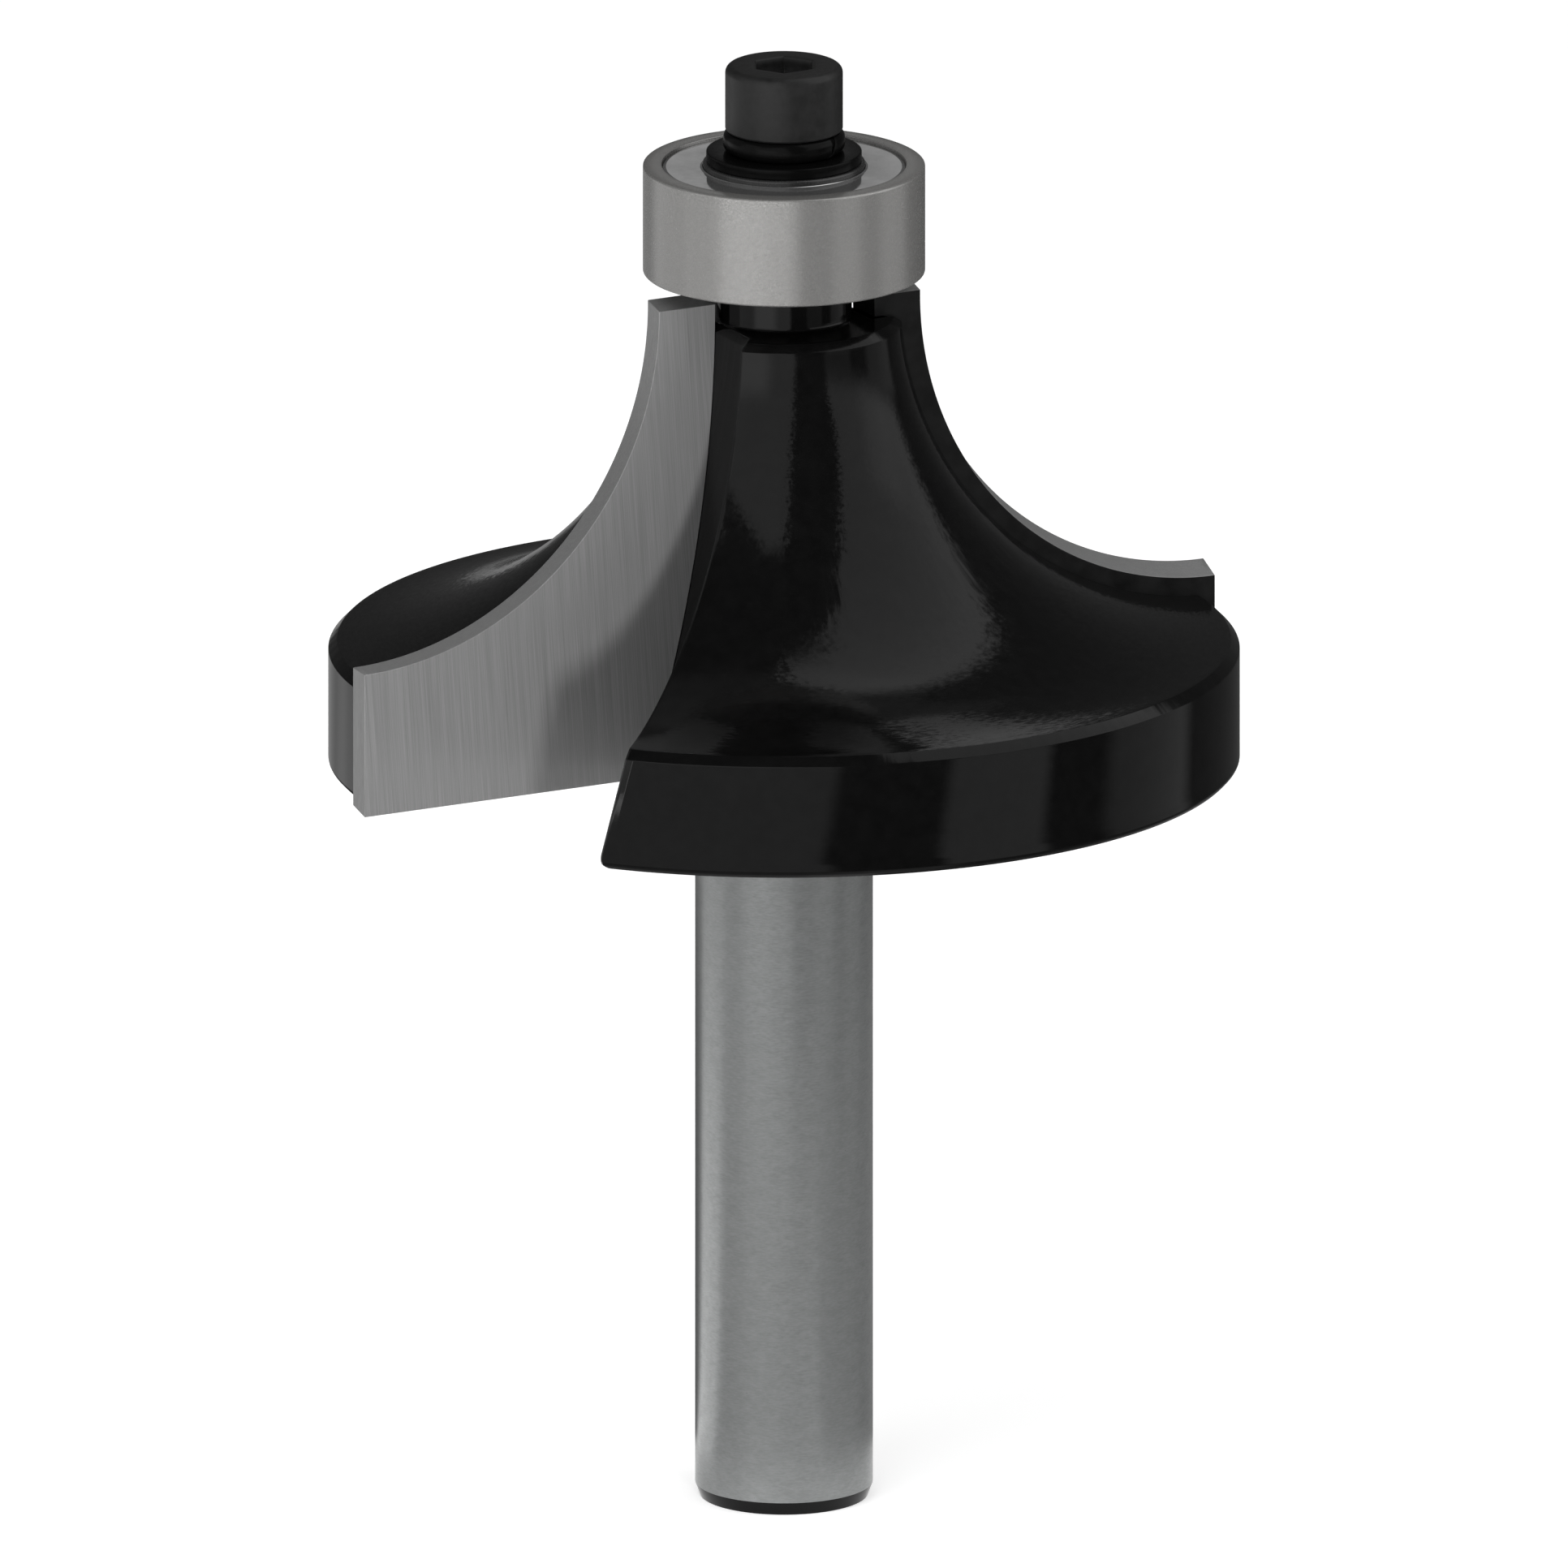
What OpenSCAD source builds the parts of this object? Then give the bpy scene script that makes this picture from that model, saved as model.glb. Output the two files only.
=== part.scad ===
// Round-over router bit: a one-piece steel cutter with two brazed carbide tips
// and a pilot ball bearing that a cap screw holds on the spindle.
// Millimetres, +Z from the shank's end to the pilot. The tips' cutting faces lie
// in the XZ plane, and the bit cuts as it turns from +X towards +Y.

/* [Cutting tips] */
// Radius of the round that the bit cuts
profile_r = 15; // [13:0.5:16]
// Height of the straight edge below the round
edge_h = 6.65; // [6:0.05:8]
// Thickness of a tip
tip_t = 2.1; // [1.6:0.1:2.6]
// Relief angle behind the outer edge, in degrees
side_relief = 14; // [8:1:16]
// Relief angle under the round, in degrees
top_relief = 6; // [3:1:8]

/* [Cutter body] */
// How far the cutting round stands out of the body
tip_proud = 1.1; // [0.8:0.05:1.5]
// How far the rim lies inside the cutting circle
rim_step = 0.85; // [0.6:0.05:1.2]
// Depth of the body's top deck below the tips
deck_drop = 0.97; // [0.7:0.05:1.4]
// Radius that softens the body's edges
body_edge_r = 0.45; // [0.2:0.05:0.6]
// Fillet between the body's underside and the shank
root_fillet = 1; // [0.5:0.1:1.5]
// Diameter of the neck under the bearing
neck_d = 6.1; // [5.8:0.1:6.6]
// Height of the neck's shoulder above the tips
neck_rise = 0.97; // [0.8:0.05:1.3]

/* [Gullets] */
// Radius of the wheel that cuts a gullet
wheel_r = 66; // [60:1:80]
// Steel left between the neck and a gullet
web_t = 0.44; // [0.3:0.02:0.7]
// Width of a gullet's floor
floor_w = 2.8; // [2.2:0.1:3.2]
// Slope of a gullet's far wall, in degrees
flank_a = 41; // [38:1:44]

/* [Shank] */
// Diameter of the shank
shank_d = 8; // [7.5:0.5:9]
// Length of the shank below the body
shank_l = 34.2; // [30:0.1:40]
// Height of the bevel at the shank's end
end_bevel_h = 0.6; // [0.3:0.1:1]
// Width of the bevel at the shank's end
end_bevel_w = 0.22; // [0.1:0.02:0.4]

/* [Pilot bearing] */
// Outer diameter of the bearing
bearing_d = 12.7; // [12.4:0.1:13.2]
// Bore of the bearing
bore_d = 4.76; // [4.6:0.02:4.9]
// Width of the outer ring
ring_w = 4.98; // [4.8:0.02:5.6]
// How far the inner ring stands out at each end
inner_proud = 0.15; // [0.1:0.01:0.25]
// Diameter of a ball
ball_d = 1.588; // [1.5:0.01:1.65]
// Width of the outer ring's end faces
ring_face_w = 0.85; // [0.75:0.05:0.95]
// Radius on the outer ring's edges
ring_edge_r = 0.2; // [0.1:0.05:0.3]
// Thickness of a shield
shield_t = 0.2; // [0.15:0.01:0.25]
// Depth of a shield's face below the ring's end
shield_sink = 0.22; // [0.15:0.01:0.3]

/* [Screw and washers] */
// Nominal diameter of the screw
screw_d = 3; // [2.8:0.1:3.1]
// Length of the screw under its head
screw_l = 8; // [7:0.5:10]
// Diameter of the screw's head
head_d = 5.3; // [5.1:0.1:5.7]
// Height of the screw's head
head_h = 3; // [2.6:0.1:3.4]
// Width of the hexagon socket across its flats
hex_w = 2.5; // [2.2:0.1:2.6]
// Depth of the hexagon socket
hex_depth = 1.5; // [1.2:0.1:1.7]
// Radius on the head's top edge
head_edge_r = 0.35; // [0.2:0.05:0.5]
// Outer diameter of the flat washer
washer_d = 7; // [6.6:0.1:7.2]
// Thickness of the flat washer
washer_t = 0.5; // [0.4:0.05:0.7]
// Outer diameter of the spring washer
spring_d = 5.5; // [5.3:0.1:5.8]
// Thickness of the spring washer
spring_t = 0.97; // [0.8:0.01:1.1]
// Width of the spring washer's split
split_w = 0.12; // [0.08:0.01:0.2]

/* [Hidden] */
$fn = 96;

// Overshoot of a cut past the face it opens
over = 1;

// Cutting circle, and the levels up the bit
cut_r = bearing_d / 2 + profile_r;
tip_top = shank_l + edge_h + profile_r;
rim_r = cut_r - rim_step;
body_arc_r = profile_r + tip_proud;
deck_z = tip_top - deck_drop;
seat_z = tip_top + neck_rise;
inner_w = ring_w + 2 * inner_proud;
bearing_z = seat_z + inner_proud;
washer_z = seat_z + inner_w;
spring_z = washer_z + washer_t;
head_z = spring_z + spring_t;

// The gullet's floor keeps a web of steel round the neck
neck_r = neck_d / 2;
gullet_x = neck_r + web_t;
wheel_x = gullet_x + wheel_r;

// Spindle that carries the bearing, and the screw's hole in it
slip_fit = 0.01;
spindle_r = bore_d / 2 - slip_fit;
spindle_short = 0.25;
spindle_top = washer_z - spindle_short;
spindle_bevel = 0.2;
neck_fillet = 0.25;
thread_gap = 0.03;
hole_r = screw_d / 2 + thread_gap;
hole_spare = 1.2;
drill_point_a = 118;
hole_z = head_z - screw_l - hole_spare;

// Rolling parts of the bearing
mid_z = bearing_z + ring_w / 2;
pitch_r = (bearing_d + bore_d) / 4;
ball_n = 9;
ball_r = ball_d / 2;
ball_play = 0.02;
groove_r = 0.52 * ball_d;
groove_depth = 0.2;
inner_land_r = pitch_r - ball_r - ball_play + groove_depth;
outer_land_r = pitch_r + ball_r + ball_play - groove_depth;
cage_gap = 0.2;
cage_play = 0.05;
cage_base = 0.25;
recess_r = bearing_d / 2 - ring_face_w;
recess_depth = shield_sink + shield_t;
shield_gap = 0.03;
shield_clear = 0.1;
collar_w = 0.2;
collar_h = 0.15;
lip_h = 0.3;
lip_drop = 0.1;
inner_edge_r = 0.1;
lip_r = inner_land_r - lip_drop;

// Head, washers and their fits
hex_turn = 32;
washer_bore_gap = 0.1;
spring_bore_gap = 0.05;
spring_edge_r = 0.3;
split_at = -64;
split_lean = 25;
screw_tip_bevel = 0.3;

BODY_BLACK = [0.07, 0.07, 0.07];
CARBIDE_GREY = [0.5, 0.5, 0.5];
RING_GREY = [0.55, 0.55, 0.53];
SHIELD_GREY = [0.45, 0.45, 0.45];
BALL_GREY = [0.8, 0.8, 0.8];
CAGE_BRASS = [0.75, 0.65, 0.4];
SCREW_BLACK = [0.12, 0.12, 0.12];

// What a corner at [x, z] loses when it is rounded; sx and sz point out of it
module corner_loss(x, z, r, sx, sz) {
    translate([x - sx * r, z - sz * r])
        difference() {
            translate([sx > 0 ? 0 : -r - over, sz > 0 ? 0 : -r - over])
                square(r + over);
            circle(r);
        }
}

// What an inside corner at [x, z] gains when it is filled; sx and sz point into the open
module corner_gain(x, z, r, sx, sz) {
    difference() {
        translate([sx > 0 ? x : x - r, sz > 0 ? z : z - r])
            square(r);
        translate([x + sx * r, z + sz * r])
            circle(r);
    }
}

// Section of the body: a rim, a hollow flare that follows the tips, and a flat deck
module flare_section() {
    difference() {
        translate([0, shank_l])
            square([rim_r, deck_z - shank_l]);
        translate([cut_r, tip_top])
            circle(body_arc_r, $fn = 240);
    }
}

// Direction from a fillet's centre c towards the centre of the flare's arc
function toward_arc(c) = let (v = [cut_r, tip_top] - c) v / norm(v);

// Rounds the edge where the flare meets the rim
module rim_corner_loss() {
    off = rim_step + body_edge_r;
    c = [rim_r - body_edge_r,
         tip_top - sqrt(pow(body_arc_r + body_edge_r, 2) - off * off)];
    on_arc = c + body_edge_r * toward_arc(c);
    difference() {
        polygon([c, on_arc, on_arc + over * toward_arc(c), [rim_r + over, c[1] + 2 * over],
                 [rim_r + over, c[1]]]);
        translate(c)
            circle(body_edge_r);
    }
}

// Rounds the edge where the flare meets the deck
module deck_corner_loss() {
    drop = deck_drop + body_edge_r;
    c = [cut_r - sqrt(pow(body_arc_r + body_edge_r, 2) - drop * drop), deck_z - body_edge_r];
    on_arc = c + body_edge_r * toward_arc(c);
    difference() {
        polygon([c, on_arc, on_arc + over * toward_arc(c), [c[0] + 2 * over, deck_z + over],
                 [c[0], deck_z + over]]);
        translate(c)
            circle(body_edge_r);
    }
}

// Section of the shank, with the bevel at its end
module shank_section() {
    r = shank_d / 2;
    polygon([[0, 0], [r - end_bevel_w, 0], [r, end_bevel_h], [r, shank_l + over],
             [0, shank_l + over]]);
    corner_gain(r, shank_l, root_fillet, 1, -1);
}

// Section of the neck and of the spindle that the bearing sits on
module spindle_section() {
    translate([0, shank_l])
        square([neck_r, seat_z - shank_l]);
    corner_gain(neck_r, deck_z, neck_fillet, 1, 1);
    polygon([[0, seat_z - over], [spindle_r, seat_z - over],
             [spindle_r, spindle_top - spindle_bevel],
             [spindle_r - spindle_bevel, spindle_top], [0, spindle_top]]);
}

// Drilled hole for the screw, with the drill's point at its end
module screw_hole() {
    point_h = hole_r / tan(drill_point_a / 2);
    translate([0, 0, hole_z])
        cylinder(h = spindle_top - hole_z + over, r = hole_r);
    translate([0, 0, hole_z - point_h])
        cylinder(h = point_h, r1 = 0, r2 = hole_r);
}

// The wheel that mills one gullet: its side cuts the tip's seat, its rim the floor
// and its cone the far wall
module gullet_wheel() {
    reach = cut_r + over;
    translate([wheel_x, 0, tip_top])
        rotate([-90, 0, 0])
            rotate_extrude($fn = 240)
                polygon([[0, -tip_t], [wheel_r, -tip_t], [wheel_r, floor_w],
                         [wheel_r - tan(flank_a) * (reach - floor_w), reach], [0, reach]]);
}

// The flare with its edges rounded and both gullets milled out
module milled_flare() {
    difference() {
        rotate_extrude($fn = 180)
            flare_section();
        rotate_extrude($fn = 180)
            rim_corner_loss();
        rotate_extrude($fn = 180)
            deck_corner_loss();
        rotate_extrude($fn = 180)
            corner_loss(rim_r, shank_l, body_edge_r, 1, -1);
        for (turn = [0, 180])
            rotate([0, 0, turn])
                gullet_wheel();
    }
}

module cutter_body() {
    color(BODY_BLACK)
        difference() {
            union() {
                milled_flare();
                rotate_extrude() {
                    shank_section();
                    spindle_section();
                }
            }
            screw_hole();
        }
}

// Outline of a tip: the round and the straight edge
module tip_outline() {
    difference() {
        translate([0, shank_l - over])
            square([cut_r, tip_top - shank_l + 2 * over]);
        translate([cut_r, tip_top])
            circle(profile_r, $fn = 240);
    }
}

// Blank that a tip is ground from, with its inner edge on the gullet's floor
module tip_blank() {
    rotate([90, 0, 0])
        linear_extrude(tip_t)
            intersection() {
                translate([0, shank_l])
                    square([cut_r, tip_top - shank_l]);
                translate([wheel_x, tip_top])
                    circle(wheel_r, $fn = 240);
            }
}

// A tip whose ground edges lean back from its cutting face by the relief angles
module tip(turn) {
    color(CARBIDE_GREY)
        rotate([0, 0, turn])
            intersection() {
                tip_blank();
                multmatrix([[1, tan(side_relief), 0, 0], [0, 1, 0, 0],
                            [0, tan(top_relief), 1, 0]])
                    rotate([90, 0, 0])
                        translate([0, 0, -over])
                            linear_extrude(tip_t + 2 * over)
                                tip_outline();
            }
}

module cutting_tip_1() { tip(0); }
module cutting_tip_2() { tip(180); }

// Half of the inner ring's section, above the ball groove's middle
module inner_half_section() {
    half = inner_w / 2;
    step = half - lip_h;
    difference() {
        union() {
            translate([bore_d / 2, 0])
                square([inner_land_r - bore_d / 2, ring_w / 2 - recess_depth - shield_clear]);
            translate([bore_d / 2, 0])
                square([lip_r - lip_drop - bore_d / 2, half - inner_edge_r]);
            translate([bore_d / 2, step])
                square([lip_r - bore_d / 2, lip_h]);
        }
        corner_loss(lip_r, half, inner_edge_r, 1, 1);
        translate([pitch_r - ball_r - ball_play + groove_r, 0])
            circle(groove_r);
    }
}

module bearing_inner_ring() {
    color(RING_GREY)
        translate([0, 0, mid_z])
            rotate_extrude() {
                inner_half_section();
                mirror([0, 1])
                    inner_half_section();
            }
}

// Half of the outer ring's section, with the recess that holds a shield
module outer_half_section() {
    half = ring_w / 2;
    difference() {
        translate([outer_land_r, 0])
            square([bearing_d / 2 - outer_land_r, half]);
        translate([0, half - recess_depth])
            square([recess_r, recess_depth + over]);
        corner_loss(bearing_d / 2, half, ring_edge_r, 1, 1);
        translate([pitch_r + ball_r + ball_play - groove_r, 0])
            circle(groove_r);
    }
}

module bearing_outer_ring() {
    color(RING_GREY)
        translate([0, 0, mid_z])
            rotate_extrude() {
                outer_half_section();
                mirror([0, 1])
                    outer_half_section();
            }
}

// A pressed shield; its collar turns up round the inner ring
module shield(up) {
    bore_r = lip_r + shield_clear;
    color(SHIELD_GREY)
        translate([0, 0, mid_z])
            mirror([0, 0, up ? 0 : 1])
                translate([0, 0, ring_w / 2 - recess_depth])
                    rotate_extrude() {
                        translate([bore_r, 0])
                            square([recess_r - shield_gap - bore_r, shield_t]);
                        translate([bore_r, 0])
                            square([collar_w, shield_t + collar_h]);
                    }
}

module shield_upper() { shield(true); }
module shield_lower() { shield(false); }

// Ball number i, counted round the bearing
module ball(i) {
    color(BALL_GREY)
        rotate([0, 0, i * 360 / ball_n])
            translate([pitch_r, 0, mid_z])
                sphere(ball_r, $fn = 48);
}

module ball_1() { ball(0); }
module ball_2() { ball(1); }
module ball_3() { ball(2); }
module ball_4() { ball(3); }
module ball_5() { ball(4); }
module ball_6() { ball(5); }
module ball_7() { ball(6); }
module ball_8() { ball(7); }
module ball_9() { ball(8); }

// Crown cage: a ring under the balls with a pocket round each
module bearing_cage() {
    in_r = inner_land_r + cage_gap;
    out_r = outer_land_r - cage_gap;
    low = mid_z - ball_r - cage_base;
    color(CAGE_BRASS)
        difference() {
            translate([0, 0, low])
                rotate_extrude()
                    translate([in_r, 0])
                        square([out_r - in_r, ball_r * 1.5 + cage_base]);
            for (i = [0 : ball_n - 1])
                rotate([0, 0, i * 360 / ball_n])
                    translate([pitch_r, 0, mid_z])
                        sphere(ball_r + cage_play, $fn = 48);
        }
}

module flat_washer() {
    color(SCREW_BLACK)
        translate([0, 0, washer_z])
            difference() {
                cylinder(h = washer_t, d = washer_d);
                translate([0, 0, -over])
                    cylinder(h = washer_t + 2 * over, r = screw_d / 2 + washer_bore_gap);
            }
}

// Spring washer: a rounded ring with one leaning split
module spring_washer() {
    in_r = screw_d / 2 + spring_bore_gap;
    out_r = spring_d / 2;
    color(SCREW_BLACK)
        translate([0, 0, spring_z])
            difference() {
                rotate_extrude()
                    difference() {
                        translate([in_r, 0])
                            square([out_r - in_r, spring_t]);
                        corner_loss(out_r, spring_t, spring_edge_r, 1, 1);
                        corner_loss(out_r, 0, spring_edge_r, 1, -1);
                    }
                rotate([0, 0, split_at])
                    translate([0, 0, spring_t / 2])
                        rotate([split_lean, 0, 0])
                            translate([0, -split_w / 2, -spring_t])
                                cube([out_r + over, split_w, 2 * spring_t]);
            }
}

module cap_screw() {
    color(SCREW_BLACK)
        translate([0, 0, head_z])
            difference() {
                rotate_extrude()
                    difference() {
                        union() {
                            square([head_d / 2, head_h]);
                            polygon([[0, -screw_l], [screw_d / 2 - screw_tip_bevel, -screw_l],
                                     [screw_d / 2, screw_tip_bevel - screw_l],
                                     [screw_d / 2, over], [0, over]]);
                        }
                        corner_loss(head_d / 2, head_h, head_edge_r, 1, 1);
                    }
                translate([0, 0, head_h - hex_depth])
                    rotate([0, 0, hex_turn + 30])
                        cylinder(h = hex_depth + over, d = hex_w / cos(30), $fn = 6);
            }
}

cutter_body();
cutting_tip_1();
cutting_tip_2();
bearing_inner_ring();
bearing_outer_ring();
bearing_cage();
shield_upper();
shield_lower();
ball_1();
ball_2();
ball_3();
ball_4();
ball_5();
ball_6();
ball_7();
ball_8();
ball_9();
flat_washer();
spring_washer();
cap_screw();
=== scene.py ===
# %% [markdown]
# Round-over router bit
# This lesson dresses a router bit for a product picture. The shape, the sizes and the
# moving parts come from a CAD model, which the first cell loads as a fixed frame in
# metres. Every cell after that makes one piece or one finish and sets it in that frame.

# %% Load the frame
import math

import bmesh
import bpy
from mathutils import Matrix, Vector


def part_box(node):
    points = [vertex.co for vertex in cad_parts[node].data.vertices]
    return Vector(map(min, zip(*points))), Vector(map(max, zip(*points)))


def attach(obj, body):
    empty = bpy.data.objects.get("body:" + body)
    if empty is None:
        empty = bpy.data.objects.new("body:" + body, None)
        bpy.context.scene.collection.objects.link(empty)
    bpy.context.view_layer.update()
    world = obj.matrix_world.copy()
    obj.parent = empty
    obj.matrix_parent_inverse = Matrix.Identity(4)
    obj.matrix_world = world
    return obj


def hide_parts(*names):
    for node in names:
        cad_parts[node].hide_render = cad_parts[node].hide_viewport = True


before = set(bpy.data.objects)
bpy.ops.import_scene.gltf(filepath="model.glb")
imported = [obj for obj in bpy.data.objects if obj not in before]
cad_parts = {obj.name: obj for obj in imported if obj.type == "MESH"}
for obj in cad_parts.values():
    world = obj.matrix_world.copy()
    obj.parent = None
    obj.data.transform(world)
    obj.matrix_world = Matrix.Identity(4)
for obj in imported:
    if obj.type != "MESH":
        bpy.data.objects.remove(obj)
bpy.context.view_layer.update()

# %% [markdown]
# Sizes
# A router bit is measured in millimetres, so its pieces are modelled in millimetres and
# turned into metres as each is finished. Heights and radii could be typed in, but the
# frame knows them, and a size that is read from it can't drift from the CAD model. The few
# sizes that no box gives, such as the radius of the milling wheel, are set where they are
# first needed.

# %% Measure the frame
MM = 0.001


def heights(node):
    """Lowest and highest point of a CAD node, in millimetres."""
    low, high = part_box(node)
    return low[2] / MM, high[2] / MM


def reach(node, axis=0):
    """How far a CAD node reaches along X, or along Y where axis is 1, in millimetres."""
    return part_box(node)[1][axis] / MM


tip_low, tip_top = heights("cutting_tip_1")
cut_r = reach("cutting_tip_1")
rim_r = reach("cutter_body", axis=1)
spindle_top = heights("cutter_body")[1]
ring_low, ring_high = heights("bearing_outer_ring")
inner_low, inner_high = heights("bearing_inner_ring")
bearing_r = reach("bearing_outer_ring")
print("cutting circle", round(2 * cut_r, 2), "bearing", round(2 * bearing_r, 2))

# %% [markdown]
# Node helpers
# A material in Blender is a tree of nodes. Placing each node takes several lines, so a few
# small functions do it here: each adds one node, feeds its inputs with numbers or links,
# and gives back its output. Written with them, a finish reads almost like a sum.

# %% Adding and feeding nodes
def add(tree, kind, **settings):
    """A new node with its settings."""
    node = tree.nodes.new(kind)
    for key, value in settings.items():
        setattr(node, key, value)
    return node


def feed(tree, socket, value):
    """Gives a socket a number, or links another node's output to it."""
    if hasattr(value, "node"):
        tree.links.new(value, socket)
    else:
        socket.default_value = value


def maths(tree, operation, *values):
    """A maths node; each value is a number or a socket."""
    node = add(tree, "ShaderNodeMath", operation=operation)
    for socket, value in zip(node.inputs, values):
        feed(tree, socket, value)
    return node.outputs[0]


def remap(tree, value, from_low, from_high, to_low, to_high):
    """A value moved from one range to another, and held inside it."""
    node = add(tree, "ShaderNodeMapRange")
    feed(tree, node.inputs["Value"], value)
    for label, number in (("From Min", from_low), ("From Max", from_high),
                          ("To Min", to_low), ("To Max", to_high)):
        feed(tree, node.inputs[label], number)
    return node.outputs["Result"]


print("node helpers", [helper.__name__ for helper in (add, feed, maths, remap)])

# %% [markdown]
# Vectors and noise
# A pattern on a surface asks where a point lies, and that is a vector. The patterns here
# bend and stretch this vector before noise reads it, so a few more helpers take vectors
# apart and put them together. They read Object coordinates, which stay with a piece as it
# moves and need no UV map.

# %% Vectors and noise
def vector_maths(tree, operation, *vectors, scale=None):
    """A vector maths node; each vector is a triple or a socket."""
    node = add(tree, "ShaderNodeVectorMath", operation=operation)
    for socket, value in zip(node.inputs, vectors):
        feed(tree, socket, value)
    if scale is not None:
        feed(tree, node.inputs["Scale"], scale)
    return node.outputs["Value" if operation == "LENGTH" else "Vector"]


def split_up(tree, vector):
    """The X, Y and Z of a vector."""
    node = add(tree, "ShaderNodeSeparateXYZ")
    feed(tree, node.inputs[0], vector)
    return node.outputs["X"], node.outputs["Y"], node.outputs["Z"]


def put_together(tree, x=0.0, y=0.0, z=0.0):
    """A vector from its X, Y and Z."""
    node = add(tree, "ShaderNodeCombineXYZ")
    for socket, value in zip(node.inputs, (x, y, z)):
        feed(tree, socket, value)
    return node.outputs[0]


def place_on_piece(tree):
    """Where a point lies on its own piece, in metres."""
    return add(tree, "ShaderNodeTexCoord").outputs["Object"]


def surface_normal(tree):
    """Which way the surface faces."""
    return add(tree, "ShaderNodeNewGeometry").outputs["Normal"]


def noise(tree, point, scale, detail, roughness):
    """Blender's noise: a value round a half that rarely leaves 0.3 to 0.7."""
    node = add(tree, "ShaderNodeTexNoise")
    for label, value in (("Vector", point), ("Scale", scale), ("Detail", detail),
                         ("Roughness", roughness)):
        feed(tree, node.inputs[label], value)
    return node.outputs["Fac"]


print("node helpers", [helper.__name__ for helper in (vector_maths, split_up, put_together,
                                                      place_on_piece, surface_normal, noise)])

# %% [markdown]
# Effects that several finishes share
# Grain, mottle and strokes turn up on more than one finish. They could be built again in
# each material, but a node group is built once and placed wherever it is wanted, with its
# own values. A group here puts out only a value or a normal, and each material keeps its
# own shader.

# %% Groups
def new_group(name, output, kind, **inputs):
    """A node group with one output and named numbers as inputs, and its two end nodes."""
    group = bpy.data.node_groups.new(name, "ShaderNodeTree")
    for label, value in inputs.items():
        socket = group.interface.new_socket(label, in_out="INPUT",
                                            socket_type="NodeSocketFloat")
        socket.default_value = value
    group.interface.new_socket(output, in_out="OUTPUT", socket_type=kind)
    return group, add(group, "NodeGroupInput"), add(group, "NodeGroupOutput")


def effect(tree, group, **values):
    """One shared effect placed in a tree with its own values."""
    node = add(tree, "ShaderNodeGroup", node_tree=group)
    for label, value in values.items():
        feed(tree, node.inputs[label], value)
    return node.outputs[0]


print("node groups so far", len(bpy.data.node_groups))

# %% [markdown]
# Turned grain
# A grinding wheel leaves short fine lines that run round a turned part. Rings of a wave
# texture would be too even. Here noise is read along the direction from the axis, where it
# changes slowly, and along the height and the radius, where it changes fast. It shows no
# seam, because directions go round without a break.

# %% Turned grain
def make_turned_grain():
    """Noise drawn out into short lines that run round the Z axis."""
    group, into, out = new_group("turned_grain", "Value", "NodeSocketFloat",
                                 Around=30.0, Along=8000.0, Detail=4.0)
    x, y, z = split_up(group, place_on_piece(group))
    flat = put_together(group, x, y)
    ray = vector_maths(group, "NORMALIZE", flat)
    spread = vector_maths(group, "SCALE", ray, scale=into.outputs["Around"])
    height = maths(group, "MULTIPLY", z, into.outputs["Along"])
    radius = vector_maths(group, "LENGTH", flat)
    outward = maths(group, "MULTIPLY", radius, into.outputs["Along"])
    along = put_together(group, z=maths(group, "ADD", height, outward))
    point = vector_maths(group, "ADD", spread, along)
    value = noise(group, point, 1.0, into.outputs["Detail"], 0.6)
    group.links.new(value, out.inputs["Value"])
    return group


turned_grain = make_turned_grain()
print(turned_grain.name, "nodes", len(turned_grain.nodes))

# %% [markdown]
# Straight grain
# A face that is ground flat has straight lines instead, as the cutting faces of the tips
# have. The same noise makes them: it changes fast across the lines and slowly along Z, and
# a little of the height is added to X, so that the lines lean as the wheel left them.

# %% Straight grain
def make_straight_grain():
    """Noise drawn out into straight lines along Z, for faces ground flat."""
    group, into, out = new_group("straight_grain", "Value", "NodeSocketFloat",
                                 Across=9000.0, Along=120.0, Lean=0.0, Detail=4.0)
    x, y, z = split_up(group, place_on_piece(group))
    side = maths(group, "ADD", x, maths(group, "MULTIPLY", z, into.outputs["Lean"]))
    point = put_together(group, maths(group, "MULTIPLY", side, into.outputs["Across"]),
                         maths(group, "MULTIPLY", y, into.outputs["Across"]),
                         maths(group, "MULTIPLY", z, into.outputs["Along"]))
    value = noise(group, point, 1.0, into.outputs["Detail"], 0.65)
    group.links.new(value, out.inputs["Value"])
    return group


straight_grain = make_straight_grain()
print(straight_grain.name, "nodes", len(straight_grain.nodes))

# %% [markdown]
# Mottle
# A coating or a blackened skin is never quite even. It could be painted by hand, but plain
# noise with several sizes of patch looks the same, and it needs no picture and no UV map.

# %% Mottle
def make_mottle():
    """Fine uneven patches."""
    group, into, out = new_group("mottle", "Value", "NodeSocketFloat",
                                 Size=1500.0, Detail=5.0)
    value = noise(group, place_on_piece(group), into.outputs["Size"],
                  into.outputs["Detail"], 0.6)
    group.links.new(value, out.inputs["Value"])
    return group


mottle = make_mottle()
print(mottle.name, "nodes", len(mottle.nodes))

# %% [markdown]
# Fine strokes
# Under its gloss the coating still follows the lathe's strokes. Each stroke tilts the
# surface a little, so whatever is mirrored in it gets a ragged edge. A bump node compares
# neighbouring pixels, and strokes finer than a pixel come out wrong in it, so here they
# tilt the normal itself, sideways and up. Upright faces are smoother: the strokes fade
# there.

# %% Fine strokes
UPRIGHT, SLOPING, LEAST_STROKES = 0.03, 0.25, 0.12


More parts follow.
